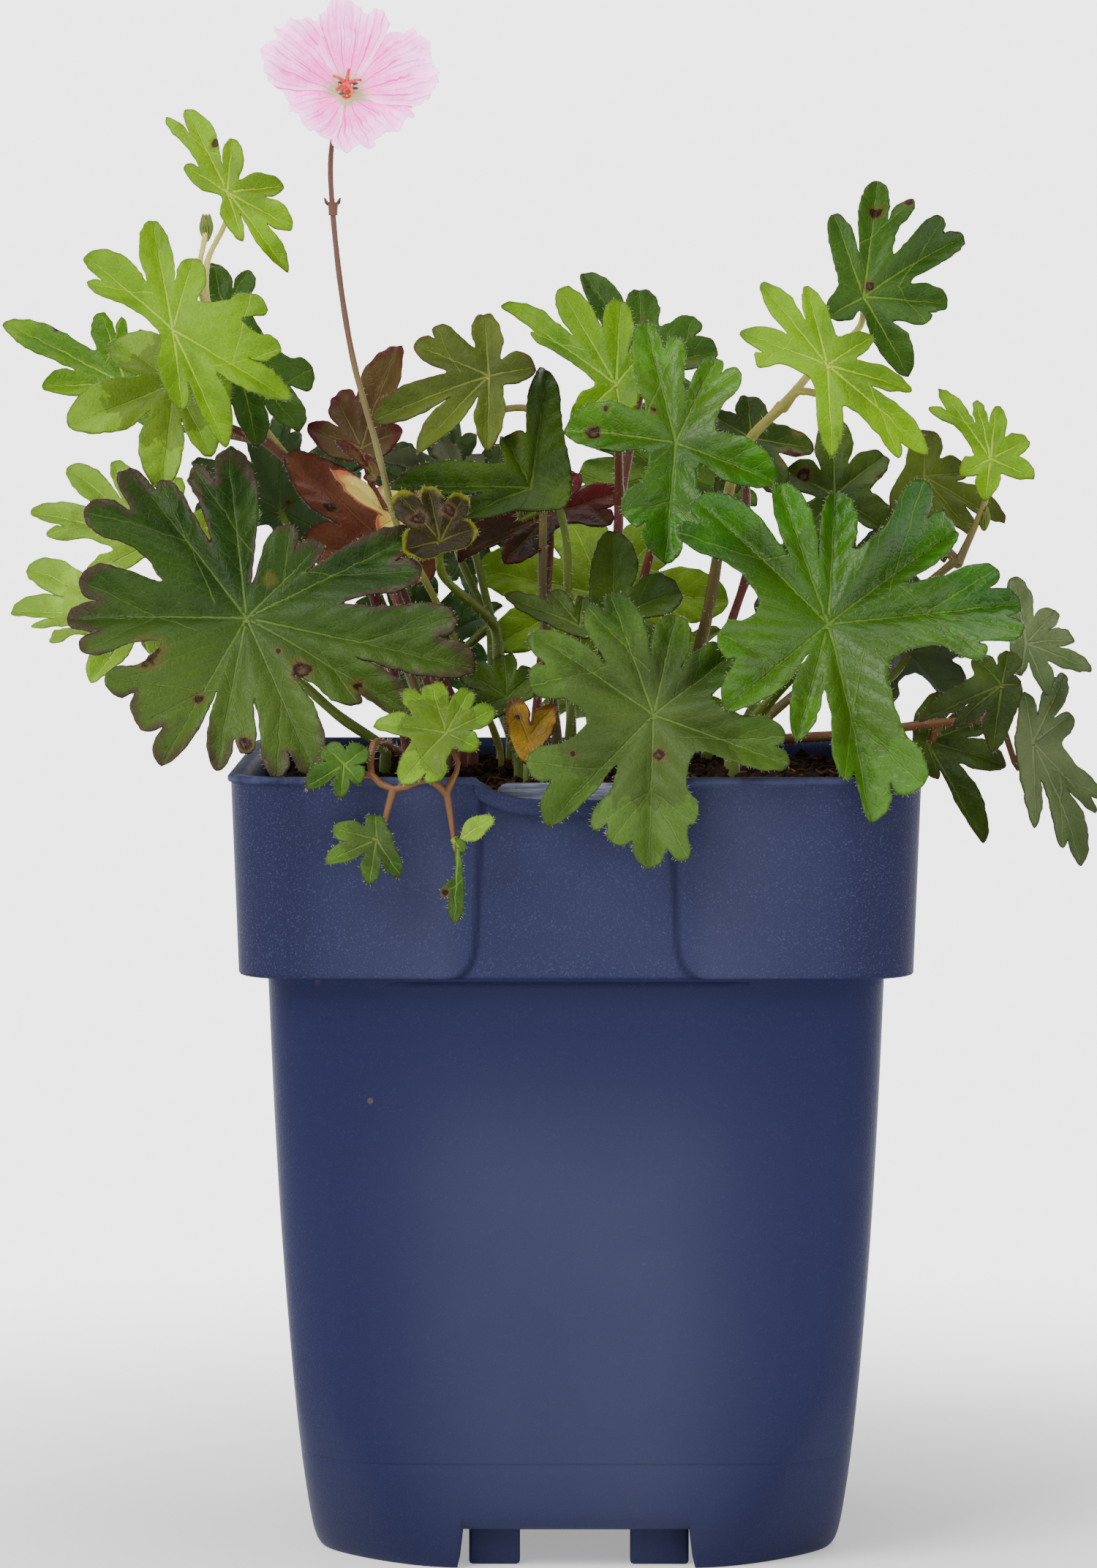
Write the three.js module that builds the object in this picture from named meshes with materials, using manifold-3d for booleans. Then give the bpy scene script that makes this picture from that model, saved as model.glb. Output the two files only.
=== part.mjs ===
// Hardy geranium in a square nursery pot.
// Units are millimetres, +Z is up, and the origin is under the middle of the pot on the surface it stands on.
// The front of the pot faces -Y. Leaves are laid out as seen from a point in front of the pot at leaf height.
import * as THREE from 'three';
import { mergeVertices } from 'three/addons/utils/BufferGeometryUtils.js';
import Module from 'manifold-3d';

const wasm = await Module();
wasm.setup();

// ---------- driving dimensions ----------
const view = { distance: 1400, height: 248 };            // the layout's view point: in front of the pot
const pot = {
  height: 162.4,
  collarBottom: 121.7,
  rimHalf: 70.3,
  collarTopHalf: 69.6,
  collarBottomHalf: 68.2,
  bodyTopHalf: 62.5,
  footHalf: 54.5,
  wall: 1.6,
  lipHeight: 1.5,
  floorBottom: 8,
  floorTop: 10,
  fieldHalfTop: 19.2,                                    // the sunken field between two corner panels
  fieldHalfBottom: 21,
  fieldDepth: 1.1,
  fieldCorner: 6.3,
  drainHoles: 8,
  drainCircle: 34,
  drainRadius: 5,
};
const soil = { top: 158.6, clearance: 0.35, holeDepth: 9 };
const root = { radius: 1.7, clearance: 0.3, height: 6.5 };  // each stem's upright foot in the soil
const leafThickness = 0.8;
const petalThickness = 0.7;
const lobeSplit = 0.62;                                  // cuts deeper than this part two lobes
const veinSplit = 0.5;                                   // where side veins leave a lobe's main vein
const minimumFeature = 0.02;                             // cut solids are cleaned to this size
const cleaning = [0.24, 0.2, 0.28];                      // cleaning sizes for joined solids, tried in turn
const nearest = 0.012;                                   // no two corners of a cleaned solid lie closer

// ---------- colours ----------
const colours = {
  pot: 0x3c4268,
  soil: 0x2e241d,
  bright: 0x6fa032,
  green: 0x3f7a25,
  dark: 0x2f4f22,
  olive: 0x6b7430,
  grey: 0x5f7358,
  maroon: 0x5d2630,
  bronze: 0x58452c,
  red: 0xb04a44,
  yellow: 0xb9962a,
  petal: 0xe9b4d8,
  coral: 0xe8645a,
  stalk: 0xa89a5a,
};

// ---------- solids ----------
function solidOf(geometry, inward = false) {
  const bare = geometry.index ? geometry.toNonIndexed() : geometry.clone();
  for (const name of Object.keys(bare.attributes)) {
    if (name !== 'position') bare.deleteAttribute(name);
  }
  const merged = mergeVertices(bare, 1e-3);
  const corners = merged.index.array;
  const kept = [];
  for (let i = 0; i < corners.length; i += 3) {
    const [a, b, c] = [corners[i], corners[i + 1], corners[i + 2]];
    if (a !== b && b !== c && c !== a) kept.push(a, ...(inward ? [c, b] : [b, c]));
  }
  const mesh = new wasm.Mesh({
    numProp: 3,
    vertProperties: new Float32Array(merged.attributes.position.array),
    triVerts: new Uint32Array(kept),
  });
  return new wasm.Manifold(mesh);
}

function closestCorners(solid) {
  // The least distance between two corners, looked for in cells of one millimetre.
  const { vertProperties, numProp } = solid.getMesh();
  const cells = new Map();
  let closest = Infinity;
  for (let i = 0; i < vertProperties.length; i += numProp) {
    const spot = new THREE.Vector3().fromArray(vertProperties, i);
    const cell = spot.clone().round();
    for (let n = 0; n < 27; n += 1) {
      const key = [cell.x + (n % 3) - 1, cell.y + (Math.floor(n / 3) % 3) - 1, cell.z + Math.floor(n / 9) - 1].join();
      for (const other of cells.get(key) ?? []) closest = Math.min(closest, spot.distanceTo(other));
    }
    const own = cell.toArray().join();
    cells.set(own, [...(cells.get(own) ?? []), spot]);
  }
  return closest;
}

function cleaned(solid) {
  // Joins leave slivers and near-double corners: the first cleaning size that clears them is kept.
  let best = null;
  for (const size of cleaning) {
    const candidate = solid.simplify(size);
    const gap = closestCorners(candidate);
    if (gap > nearest) return candidate;
    if (!best || gap > best.gap) best = { candidate, gap };
  }
  return best.candidate;
}

function joined(solids, name) {
  // One body; scraps that a join leaves are dropped, and a piece that doesn't reach the others is an error.
  let whole = solids[0];
  for (const solid of solids.slice(1)) whole = whole.add(solid);
  const bodies = whole.decompose();
  bodies.sort((a, b) => b.volume() - a.volume());
  if (bodies.length > 1 && bodies[1].volume() > 0.5) {
    console.error(`${name}: a piece of ${bodies[1].volume().toFixed(1)} cubic mm is loose`);
  }
  return cleaned(bodies[0]);
}

function meshOf(name, solid, colour, roughness = 0.6) {
  const { vertProperties, triVerts, numProp } = solid.getMesh();
  const position = new Float32Array((vertProperties.length / numProp) * 3);
  for (let i = 0; i < position.length / 3; i += 1) {
    position.set(vertProperties.subarray(i * numProp, i * numProp + 3), i * 3);
  }
  const geometry = new THREE.BufferGeometry();
  geometry.setAttribute('position', new THREE.BufferAttribute(position, 3));
  geometry.setIndex(new THREE.BufferAttribute(new Uint32Array(triVerts), 1));
  geometry.computeVertexNormals();
  const material = new THREE.MeshStandardMaterial({ color: colour, roughness, metalness: 0 });
  const mesh = new THREE.Mesh(geometry, material);
  mesh.name = name;
  return mesh;
}

function blade(outline, inner, triangles, heightAt, thickness, toSpace) {
  // A thin closed blade: the same triangles above and below, and a rim of quads between them.
  const flat = [...outline, ...inner];
  const count = flat.length;
  const position = [];
  for (const side of [0.5, -0.5]) {
    for (const point of flat) {
      const spot = toSpace(point, heightAt(point) + side * thickness);
      position.push(spot.x, spot.y, spot.z);
    }
  }
  const index = [];
  for (const [a, b, c] of triangles) {
    index.push(a, b, c, count + c, count + b, count + a);
  }
  for (let i = 0; i < outline.length; i += 1) {
    const next = (i + 1) % outline.length;
    index.push(i, count + i, next, next, count + i, count + next);
  }
  const geometry = new THREE.BufferGeometry();
  geometry.setAttribute('position', new THREE.Float32BufferAttribute(position, 3));
  geometry.setIndex(index);
  return solidOf(geometry);
}

function tube(points, radius, sides = 5, stepLength = 12) {
  const path = new THREE.CatmullRomCurve3(points, false, 'centripetal');
  const section = new THREE.Shape();
  for (let i = 0; i < sides; i += 1) {
    const turn = (2 * Math.PI * i) / sides;
    section[i === 0 ? 'moveTo' : 'lineTo'](radius * Math.cos(turn), radius * Math.sin(turn));
  }
  const steps = Math.max(points.length > 2 ? 3 : 1, Math.round(path.getLength() / stepLength));
  return solidOf(new THREE.ExtrudeGeometry(section, { steps, extrudePath: path, bevelEnabled: false }));
}

function post(x, y, low, high, radius, sides = 6) {
  const geometry = new THREE.CylinderGeometry(radius, radius, high - low, sides);
  geometry.rotateX(Math.PI / 2);
  geometry.translate(x, y, (low + high) / 2);
  return solidOf(geometry);
}

function slab(halfX, halfY, low, high, x = 0, y = 0) {
  const geometry = new THREE.BoxGeometry(2 * halfX, 2 * halfY, high - low);
  geometry.translate(x, y, (low + high) / 2);
  return solidOf(geometry);
}

// ---------- the layout ----------
function place(x, z, y) {
  // A spot of the front view, moved to depth y along its line of sight.
  const scale = (view.distance + y) / view.distance;
  return new THREE.Vector3(x * scale, y, view.height + (z - view.height) * scale);
}

function leafFrame(leaf) {
  const up = new THREE.Vector3(...leaf.face).normalize();
  const across = new THREE.Vector3(-up.y, up.x, 0).normalize();
  const along = new THREE.Vector3().crossVectors(up, across);
  const joint = place(leaf.at[0], leaf.at[1], leaf.y);
  return { up, across, along, joint, scale: (view.distance + leaf.y) / view.distance };
}

function flatTips(leaf, frame) {
  // The tips' places in the leaf's own plane, counter-clockwise, each with the cut that follows it.
  const tips = leaf.tips.map(([x, z, cut]) => {
    const dx = (x - leaf.at[0]) * frame.scale;
    const dz = (z - leaf.at[1]) * frame.scale;
    const dy = -(frame.up.x * dx + frame.up.z * dz) / frame.up.y;
    const offset = new THREE.Vector3(dx, dy, dz);
    return { point: new THREE.Vector2(offset.dot(frame.across), offset.dot(frame.along)), cut };
  });
  if (THREE.ShapeUtils.area(tips.map((tip) => tip.point)) > 0) return tips;
  const turned = [...tips].reverse();
  return turned.map((tip, i) => ({ point: tip.point, cut: turned[(i + 1) % turned.length].cut }));
}

const fullTurn = 2 * Math.PI;

function turnBetween(from, to) {
  return (((to - from) % fullTurn) + fullTurn) % fullTurn;
}

function leafPlan(tips, halfWidth) {
  // Notches between the tips, lobes with their main tip, and each tip's rounded end.
  const count = tips.length;
  const angles = tips.map((tip) => Math.atan2(tip.point.y, tip.point.x));
  const reach = tips.map((tip) => tip.point.length());
  const notches = tips.map((tip, i) => {
    const next = (i + 1) % count;
    const angle = angles[i] + turnBetween(angles[i], angles[next]) / 2;
    const radius = (tip.cut * (reach[i] + reach[next])) / 2;
    return new THREE.Vector2(radius * Math.cos(angle), radius * Math.sin(angle));
  });
  let first = 0;
  while (tips[(first + count - 1) % count].cut >= lobeSplit) first += 1;
  const lobes = [];
  let members = [];
  for (let step = 0; step < count; step += 1) {
    const i = (first + step) % count;
    members.push(i);
    if (tips[i].cut < lobeSplit) {
      const main = members.reduce((best, j) => (reach[j] > reach[best] ? j : best), members[0]);
      lobes.push({ members, main });
      members = [];
    }
  }
  for (const lobe of lobes) {
    const vein = tips[lobe.main].point;
    const sides = lobe.members.map((i) => {
      const tip = tips[i].point;
      const root = i === lobe.main ? new THREE.Vector2() : vein.clone().multiplyScalar(veinSplit);
      const axis = tip.clone().sub(root).normalize();
      const normal = new THREE.Vector2(-axis.y, axis.x);
      const shoulder = (side, notch, neighbour) => {
        let width = Math.min(halfWidth, 0.42 * tip.distanceTo(neighbour));
        const edge = notch.clone().normalize();
        for (let guard = 0; guard < 12; guard += 1) {
          const spot = tip.clone().addScaledVector(axis, -0.75 * width).addScaledVector(normal, side * width);
          if (side * spot.cross(edge) > 0.25) return spot;
          width *= 0.82;
        }
        return tip.clone().addScaledVector(axis, -0.5);
      };
      const before = (i + count - 1) % count;
      const after = (i + 1) % count;
      return [
        shoulder(-1, notches[before], tips[before].point),
        tip.clone(),
        shoulder(1, notches[i], tips[after].point),
      ];
    });
    lobe.ends = sides;
    lobe.angle = angles[lobe.main];
    lobe.vein = vein;
    lobe.notchBefore = (lobe.members[0] + count - 1) % count;
  }
  return { notches, lobes, reach: Math.max(...reach) };
}

function foldAt(lobes, point) {
  // Rises from each main vein to the middle of the gap to the next one.
  const angle = Math.atan2(point.y, point.x);
  for (let k = 0; k < lobes.length; k += 1) {
    const next = lobes[(k + 1) % lobes.length];
    const gap = lobes.length === 1 ? fullTurn : turnBetween(lobes[k].angle, next.angle);
    const past = turnBetween(lobes[k].angle, angle);
    if (past <= gap) {
      return (Math.min(gap, 0.9) / 2) * (1 - Math.cos((fullTurn * past) / gap)) * 0.5;
    }
  }
  return 0;
}

function leafHeight(leaf, plan) {
  const droop = leaf.droop ?? 0.12;
  const fold = leaf.fold ?? 0.5;
  const wave = leaf.wave ?? 0.05;
  return (point) => {
    const radius = point.length();
    const share = radius / plan.reach;
    const angle = Math.atan2(point.y, point.x);
    return (
      -droop * plan.reach * share * share
      + fold * radius * foldAt(plan.lobes, point)
      + wave * plan.reach * share * share * Math.sin(3 * angle + leaf.at[0])
    );
  };
}

function leafBlade(leaf) {
  const frame = leafFrame(leaf);
  const plan = leafPlan(flatTips(leaf, frame), leaf.width ?? 3);
  const outline = [];
  const parts = [];
  for (const lobe of plan.lobes) {
    const start = outline.length;
    outline.push(plan.notches[lobe.notchBefore]);
    let main = start;
    lobe.members.forEach((member, order) => {
      if (order > 0) outline.push(plan.notches[lobe.members[order - 1]]);
      if (member === lobe.main) main = outline.length + 1;
      outline.push(...lobe.ends[order]);
    });
    parts.push({ start, main, lobe });
  }
  const inner = [new THREE.Vector2()];
  const centre = outline.length;
  const triangles = [];
  parts.forEach((part, k) => {
    const middle = centre + 1 + k;
    inner.push(part.lobe.vein.clone().multiplyScalar(0.55));
    const end = k + 1 < parts.length ? parts[k + 1].start : 0;
    const right = [centre];
    for (let i = part.start; i <= part.main; i += 1) right.push(i);
    right.push(middle);
    const left = [centre, middle];
    for (let i = part.main; i < (end === 0 ? centre : end); i += 1) left.push(i);
    left.push(end);
    for (const side of [right, left]) {
      const all = [...outline, ...inner];
      const contour = side.map((i) => all[i]);
      for (const [a, b, c] of THREE.ShapeUtils.triangulateShape(contour, [])) {
        triangles.push([side[a], side[b], side[c]]);
      }
    }
  });
  const toSpace = (point, height) => frame.joint.clone()
    .addScaledVector(frame.across, point.x)
    .addScaledVector(frame.along, point.y)
    .addScaledVector(frame.up, height);
  return blade(outline, inner, triangles, leafHeight(leaf, plan), leafThickness, toSpace);
}

// ---------- stems ----------
const crownHigh = soil.top + root.height;

function footOf([x, y]) {
  return new THREE.Vector3(x, y, crownHigh - 1.7);
}

function petiole(leaf) {
  // From the soil, or from a node on the stem, up to the underside of the leaf.
  const frame = leafFrame(leaf);
  const under = frame.up.clone().multiplyScalar(-1);
  const { from, via = [], radius = 0.95, lift = 7 } = leaf.stem;
  const route = from.length === 2
    ? [footOf(from)]
    : [place(from[0], from[1], from[2])];
  for (const [x, z, y] of via) route.push(place(x, z, y));
  route.push(frame.joint.clone().addScaledVector(under, lift).add(new THREE.Vector3(0, 0, -0.4 * lift)));
  route.push(frame.joint.clone().addScaledVector(under, 0.1));
  return tube(route, radius, 4, 20);
}

function rootsOf(node) {
  const roots = [];
  for (const leaf of node.leaves) {
    if (leaf.stem && leaf.stem.from.length === 2) roots.push(leaf.stem.from);
  }
  for (const stem of node.stems ?? []) {
    if (stem.from) roots.push(stem.from);
  }
  return roots;
}

function knotsOf(node) {
  const spots = new Map();
  for (const { stem } of node.leaves) {
    if (stem.from.length === 3) spots.set(stem.from.join(), stem.from);
  }
  return [...spots.values()];
}

function rootPost([x, y]) {
  return post(x, y, soil.top - soil.holeDepth + root.clearance, crownHigh - 1, root.radius, 5);
}

function freeStem(stem) {
  const route = stem.from
    ? [footOf(stem.from)]
    : [];
  for (const [x, z, y] of stem.path) route.push(place(x, z, y));
  return tube(route, stem.radius ?? 0.8, 5, stem.step ?? 8.5);
}

function knot([x, z, y], size = 1.6) {
  // The swollen node that stems branch from.
  const geometry = new THREE.OctahedronGeometry(size);
  const centre = place(x, z, y);
  geometry.translate(centre.x, centre.y, centre.z);
  return solidOf(geometry);
}

function bud([x, z, y], size) {
  const geometry = new THREE.SphereGeometry(size, 6, 4);
  geometry.rotateX(Math.PI / 2);
  geometry.scale(0.62, 0.62, 1);
  const centre = place(x, z, y);
  geometry.translate(centre.x, centre.y, centre.z);
  return solidOf(geometry);
}

// ---------- the leafy stems: front-view places (x, z), depth y, tips clockwise with the cut after each ----------
const leafyStems = [
  {
    name: 'stem_upper_left',
    colour: colours.bright,
    leaves: [
      {
        at: [-73, 280.3], y: -12, face: [0.1, -0.88, 0.42], width: 2.6,
        tips: [[-82, 286.2, 0.5], [-86.2, 295.8, 0.72], [-82, 299, 0.35], [-72.3, 291.7, 0.3],
          [-61.2, 282.2, 0.55], [-59.3, 273, 0.6], [-60, 265, 0.35], [-69.5, 270.5, 0.15]],
        stem: { from: [-77.5, 256, -24], via: [[-77.2, 266, -14]], radius: 0.7 },
      },
      {
        at: [-84.5, 251.7], y: -32, face: [0.05, -0.9, 0.4], width: 3.1,
        tips: [[-102.7, 262.5, 0.8], [-103.5, 269, 0.45], [-89.3, 275.2, 0.5], [-80.5, 267.2, 0.45],
          [-68, 258.5, 0.7], [-61.7, 247.7, 0.65], [-59.7, 237.5, 0.5], [-73, 229.2, 0.55],
          [-82, 235.5, 0.15]],
        stem: { from: [-77.5, 256, -24], radius: 0.8 },
      },
    ],
    stems: [
      { from: [-30, 4], path: [[-50, 194, 8], [-62, 215, 2], [-66, 233, -16], [-77.5, 257, -24]], radius: 1 },
      { path: [[-77.5, 256, -24], [-79, 263, -21], [-77.5, 272, -19]], radius: 0.6, step: 9 },
    ],
    buds: [{ at: [-77.4, 272.6, -19], size: 2.4 }],
  },
  {
    name: 'stem_left',
    colour: colours.green,
    leaves: [
      {
        at: [-94.3, 240.3], y: 6, face: [-0.15, -0.85, 0.5], width: 3,
        tips: [[-106, 233, 0.4], [-112.5, 240.5, 0.45], [-121, 253.3, 0.4], [-100.5, 256.2, 0.7],
          [-95.5, 254, 0.4], [-84, 247, 0.4], [-86, 230, 0.2]],
        stem: { from: [-70, 215, 12] },
      },
      {
        at: [-84.2, 240.3], y: -12, face: [0.1, -0.86, 0.5], width: 5.2,
        tips: [[-97, 250.5, 0.35], [-106, 231.5, 0.35], [-86, 219.5, 0.4], [-76, 226, 0.4], [-72, 238, 0.25]],
        stem: { from: [-70, 215, 12], via: [[-78, 228, 2]] },
      },
      {
        at: [-71.5, 246.5], y: 2, face: [0.25, -0.85, 0.45], width: 3.4,
        tips: [[-76.3, 266.3, 0.72], [-69, 264.5, 0.4], [-55.7, 243.2, 0.7], [-57.5, 231, 0.6],
          [-66, 228.5, 0.3]],
        stem: { from: [-70, 215, 12] },
      },
    ],
    stems: [{ from: [-36, 14], path: [[-52, 192, 14], [-70, 216, 12]], radius: 1.1 }],
  },
  {
    name: 'stem_lower_left',
    colour: colours.bright,
    leaves: [
      {
        at: [-88.5, 207], y: -2, face: [-0.1, -0.86, 0.5], width: 3,
        tips: [[-103, 200.5, 0.45], [-111, 207.8, 0.75], [-115.2, 214.2, 0.5], [-108, 224.7, 0.5],
          [-98, 224.5, 0.4], [-84, 221, 0.4], [-66, 213.8, 0.4], [-76, 195, 0.2]],
        stem: { from: [-60, 180, -2], via: [[-72, 192, 4]] },
      },
      {
        at: [-91, 191], y: -16, face: [-0.15, -0.84, 0.52], width: 3,
        tips: [[-101.7, 178.5, 0.5], [-109.7, 184.5, 0.65], [-114.2, 188.7, 0.7], [-120.5, 194.8, 0.6],
          [-117, 203.2, 0.4], [-101, 203, 0.35], [-82, 199, 0.3], [-82, 181, 0.2]],
        stem: { from: [-60, 180, -2] },
      },
    ],
    stems: [{ from: [-40, -6], path: [[-50, 171, -4], [-61, 181, -2]], radius: 1.05 }],
  },
  {
    name: 'leaf_large_left',
    colour: colours.dark,
    leaves: [
      {
        at: [-69.2, 191.3], y: -44, face: [-0.05, -0.9, 0.42], width: 4.6, droop: 0.08, fold: 0.55,
        tips: [[-60, 209.8, 0.8], [-53.5, 206.7, 0.5], [-33.3, 209, 0.85], [-32.3, 200.3, 0.5],
          [-25, 190.7, 0.88], [-21.2, 181.7, 0.55], [-33, 172.2, 0.8], [-45.5, 174, 0.5],
          [-54, 159, 0.85], [-62, 158, 0.55], [-68, 163, 0.85], [-75, 160.5, 0.5],
          [-86.5, 161.2, 0.85], [-91.3, 168.5, 0.88], [-98.2, 177.5, 0.55], [-103.2, 182.7, 0.85],
          [-107.3, 192, 0.85], [-104.5, 198.7, 0.5], [-103.2, 210.2, 0.8], [-95.2, 223.8, 0.88],
          [-88.2, 220.5, 0.5], [-81.2, 222.8, 0.85], [-74, 227.2, 0.25]],
        stem: { from: [-28, -22], via: [[-44, 176, -30]], radius: 1.3 },
      },
    ],
  },
  {
    name: 'leaf_maroon',
    colour: colours.maroon,
    leaves: [
      {
        at: [-38, 205], y: -1, face: [0.1, -0.88, 0.42], width: 5.4,
        tips: [[-58, 206.5, 0.5], [-61, 226, 0.35], [-34, 219, 0.3], [-30, 200, 0.2]],
        stem: { from: [-24, 2] },
      },
    ],
  },
  {
    name: 'leaf_red_curled',
    colour: colours.red,
    leaves: [
      {
        at: [-41, 211], y: -12, face: [0.35, -0.7, 0.6], width: 3.2, fold: 1.1,
        tips: [[-45, 210, 0.5], [-51.5, 222, 0.5], [-41, 219.5, 0.3]],
        stem: { from: [-26, -10], via: [[-36, 190, -12]], radius: 0.8 },
      },
    ],
  },
  {
    name: 'leaf_bronze_upright',
    colour: colours.bronze,
    leaves: [
      {
        at: [-45, 227], y: 6, face: [-0.2, -0.86, 0.45], width: 3.4,
        tips: [[-56.5, 231.5, 0.5], [-51, 238.5, 0.55], [-38, 250.3, 0.35], [-36.5, 231, 0.3]],
        stem: { from: [-22, 12], via: [[-36, 196, 10]] },
      },
    ],
  },
  {
    name: 'leaf_olive',
    colour: colours.olive,
    leaves: [
      {
        at: [-18.3, 242], y: -16, face: [0, -0.86, 0.5], width: 3.1,
        tips: [[-33.2, 227.5, 0.4], [-42.7, 234.2, 0.4], [-34, 249, 0.85], [-29.5, 251.5, 0.45],
          [-19.5, 255.3, 0.35], [-8.5, 244.2, 0.3], [-18.5, 227.2, 0.3]],
        stem: { from: [-4, 8], via: [[-7, 196, 6], [-8.5, 234, 2]] },
      },
    ],
  },
  {
    name: 'leaf_grey',
    colour: colours.grey,
    leaves: [
      {
        at: [-24, 219], y: 14, face: [-0.2, -0.6, 0.8], width: 2.7,
        tips: [[-38, 220, 0.45], [-43, 227.5, 0.45], [-28.5, 228.2, 0.4], [-20, 226, 0.3]],
        stem: { from: [-12, 20] },
      },
    ],
  },
  {
    name: 'leaf_yellow_olive',
    colour: colours.olive,
    leaves: [
      {
        at: [-28.5, 207.5], y: -44, face: [0, -0.85, 0.5], width: 3.6,
        tips: [[-36.5, 206, 0.5], [-38, 218, 0.6], [-31.5, 219.2, 0.6], [-23.5, 217.3, 0.6],
          [-20.8, 210.5, 0.4]],
        stem: { from: [-12, -16], via: [[-16.5, 184, -18], [-16.8, 189, -18]], radius: 1.15 },
      },
    ],
  },
  {
    name: 'leaf_folded',
    colour: colours.dark,
    leaves: [
      {
        at: [-9.7, 218.5], y: -22, face: [0.3, -0.82, 0.48], width: 3.6, fold: 1.2,
        tips: [[-23.5, 213.5, 0.5], [-38, 220, 0.35], [-15.2, 229.5, 0.55], [-6.2, 243.8, 0.35]],
        stem: { from: [-1, -10], via: [[-1.8, 197, -16], [-2.4, 209.5, -20], [-4.3, 215, -22]] },
      },
    ],
  },
  {
    name: 'leaf_brown',
    colour: colours.bronze,
    leaves: [
      {
        at: [-5.5, 213], y: 12, face: [0, -0.8, 0.6], width: 4.2,
        tips: [[-15.2, 203.5, 0.5], [-24.8, 206, 0.4], [-14, 216.5, 0.4], [0, 222, 0.45],
          [9.5, 217.8, 0.7], [7, 210.5, 0.3]],
        stem: { from: [-9, 14] },
      },
    ],
  },
  {
    name: 'leaf_olive_small',
    colour: colours.olive,
    leaves: [
      {
        at: [0.7, 189.5], y: -34, face: [0.1, -0.75, 0.65], width: 2.4,
        tips: [[-15, 196.5, 0.55], [-5.5, 197, 0.5], [1.5, 196, 0.3]],
        stem: { from: [-2, -26], radius: 0.8 },
      },
    ],
  },
  {
    name: 'leaf_centre_dark',
    colour: colours.dark,
    leaves: [
      {
        at: [7.8, 191.5], y: -16, face: [0.1, -0.85, 0.5], width: 4.4,
        tips: [[7.8, 209.8, 0.4], [22, 197.5, 0.4], [16, 184, 0.3]],
        stem: { from: [6, -14] },
      },
    ],
  },
  {
    name: 'leaf_pale_back',
    colour: colours.bright,
    leaves: [
      {
        at: [6, 196], y: 28, face: [0.05, -0.85, 0.5], width: 5.5, fold: 0.4,
        tips: [[-18, 187, 0.5], [-21, 202, 0.5], [-2, 214, 0.5], [20, 212, 0.5], [32, 196, 0.5],
          [26, 180, 0.4]],
        stem: { from: [4, 30], radius: 1.1 },
      },
    ],
  },
  {
    name: 'leaf_low_dark',
    colour: colours.dark,
    leaves: [
      {
        at: [-14.5, 174.5], y: -40, face: [0, -0.85, 0.5], width: 3.4,
        tips: [[-24, 172, 0.5], [-24.5, 181, 0.5], [-15.2, 184, 0.6], [-8.5, 180.3, 0.3]],
        stem: { from: [-12, -32], radius: 0.8 },
      },
    ],
  },
  {
    name: 'leaf_yellow_low',
    colour: colours.yellow,
    leaves: [
      {
        at: [-10, 166], y: -50, face: [0, -0.9, 0.4], width: 3.2,
        tips: [[-13.5, 174.5, 0.6], [-4.5, 173.5, 0.3]],
        stem: { from: [-10, -42], radius: 0.8 },
      },
    ],
  },
  {
    name: 'leaf_yellow_high',
    colour: colours.yellow,
    leaves: [
      {
        at: [2.5, 178], y: -44, face: [0, -0.86, 0.5], width: 2.4,
        tips: [[-6, 183.5, 0.5], [-1.5, 186, 0.3]],
        stem: { from: [4, -42], radius: 0.8 },
      },
    ],
  },
  {
    name: 'stem_top_centre',
    colour: colours.bright,
    leaves: [
      {
        at: [8.3, 240.2], y: -20, face: [-0.05, -0.88, 0.45], width: 3.3,
        tips: [[-9.7, 251.5, 0.85], [-16.2, 258.7, 0.5], [-3.7, 261.3, 0.55], [9.2, 258.5, 0.45],
          [16, 250, 0.45], [10, 229, 0.35], [-1, 232, 0.25]],
        stem: { from: [9, 216, 2] },
      },
      {
        at: [14, 243.7], y: 2, face: [0.1, -0.86, 0.5], width: 3.3,
        tips: [[1.7, 264.8, 0.55], [13.3, 261, 0.55], [24.2, 253.8, 0.8], [29.7, 247.5, 0.45],
          [25, 234, 0.4], [4, 238, 0.3]],
        stem: { from: [9, 216, 2] },
      },
    ],
    stems: [{ from: [6, 6], path: [[8, 190, 6], [9, 217, 2]], radius: 1.1 }],
  },
  {
    name: 'leaf_glossy_dark',
    colour: colours.green,
    leaves: [
      {
        at: [20.8, 228], y: -38, face: [0, -0.9, 0.4], width: 4.4,
        tips: [[-2.5, 232.2, 0.35], [14.5, 253.5, 0.8], [21, 249.5, 0.5], [29.5, 247, 0.85],
          [34.2, 242.5, 0.4], [41.8, 220.5, 0.35], [26, 210.5, 0.85], [18.5, 203.8, 0.85], [9.5, 212.5, 0.3]],
        stem: { from: [12, -6], via: [[13, 194, -7]] },
      },
    ],
  },
  {
    name: 'stem_back_right',
    colour: colours.dark,
    leaves: [
      {
        at: [36.5, 229], y: 10, face: [0.1, -0.82, 0.55], width: 3.2,
        tips: [[28, 234, 0.4], [36, 238, 0.45], [49.8, 227, 0.5], [42.3, 217.5, 0.4], [30, 217, 0.3]],
        stem: { from: [36, 200, 14] },
      },
      {
        at: [54, 217], y: 14, face: [0.1, -0.82, 0.55], width: 3.6,
        tips: [[44, 222.5, 0.4], [54, 233, 0.45], [65, 226, 0.5], [66, 210, 0.4], [54, 200, 0.4],
          [44, 205, 0.3]],
        stem: { from: [36, 200, 14] },
      },
    ],
    stems: [{ from: [22, 16], path: [[30, 184, 16], [36, 201, 14]], radius: 1 }],
  },
  {
    name: 'stem_upper_right',
    colour: colours.green,
    leaves: [
      {
        at: [60, 258.5], y: -4, face: [0.05, -0.9, 0.42], width: 3,
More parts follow.
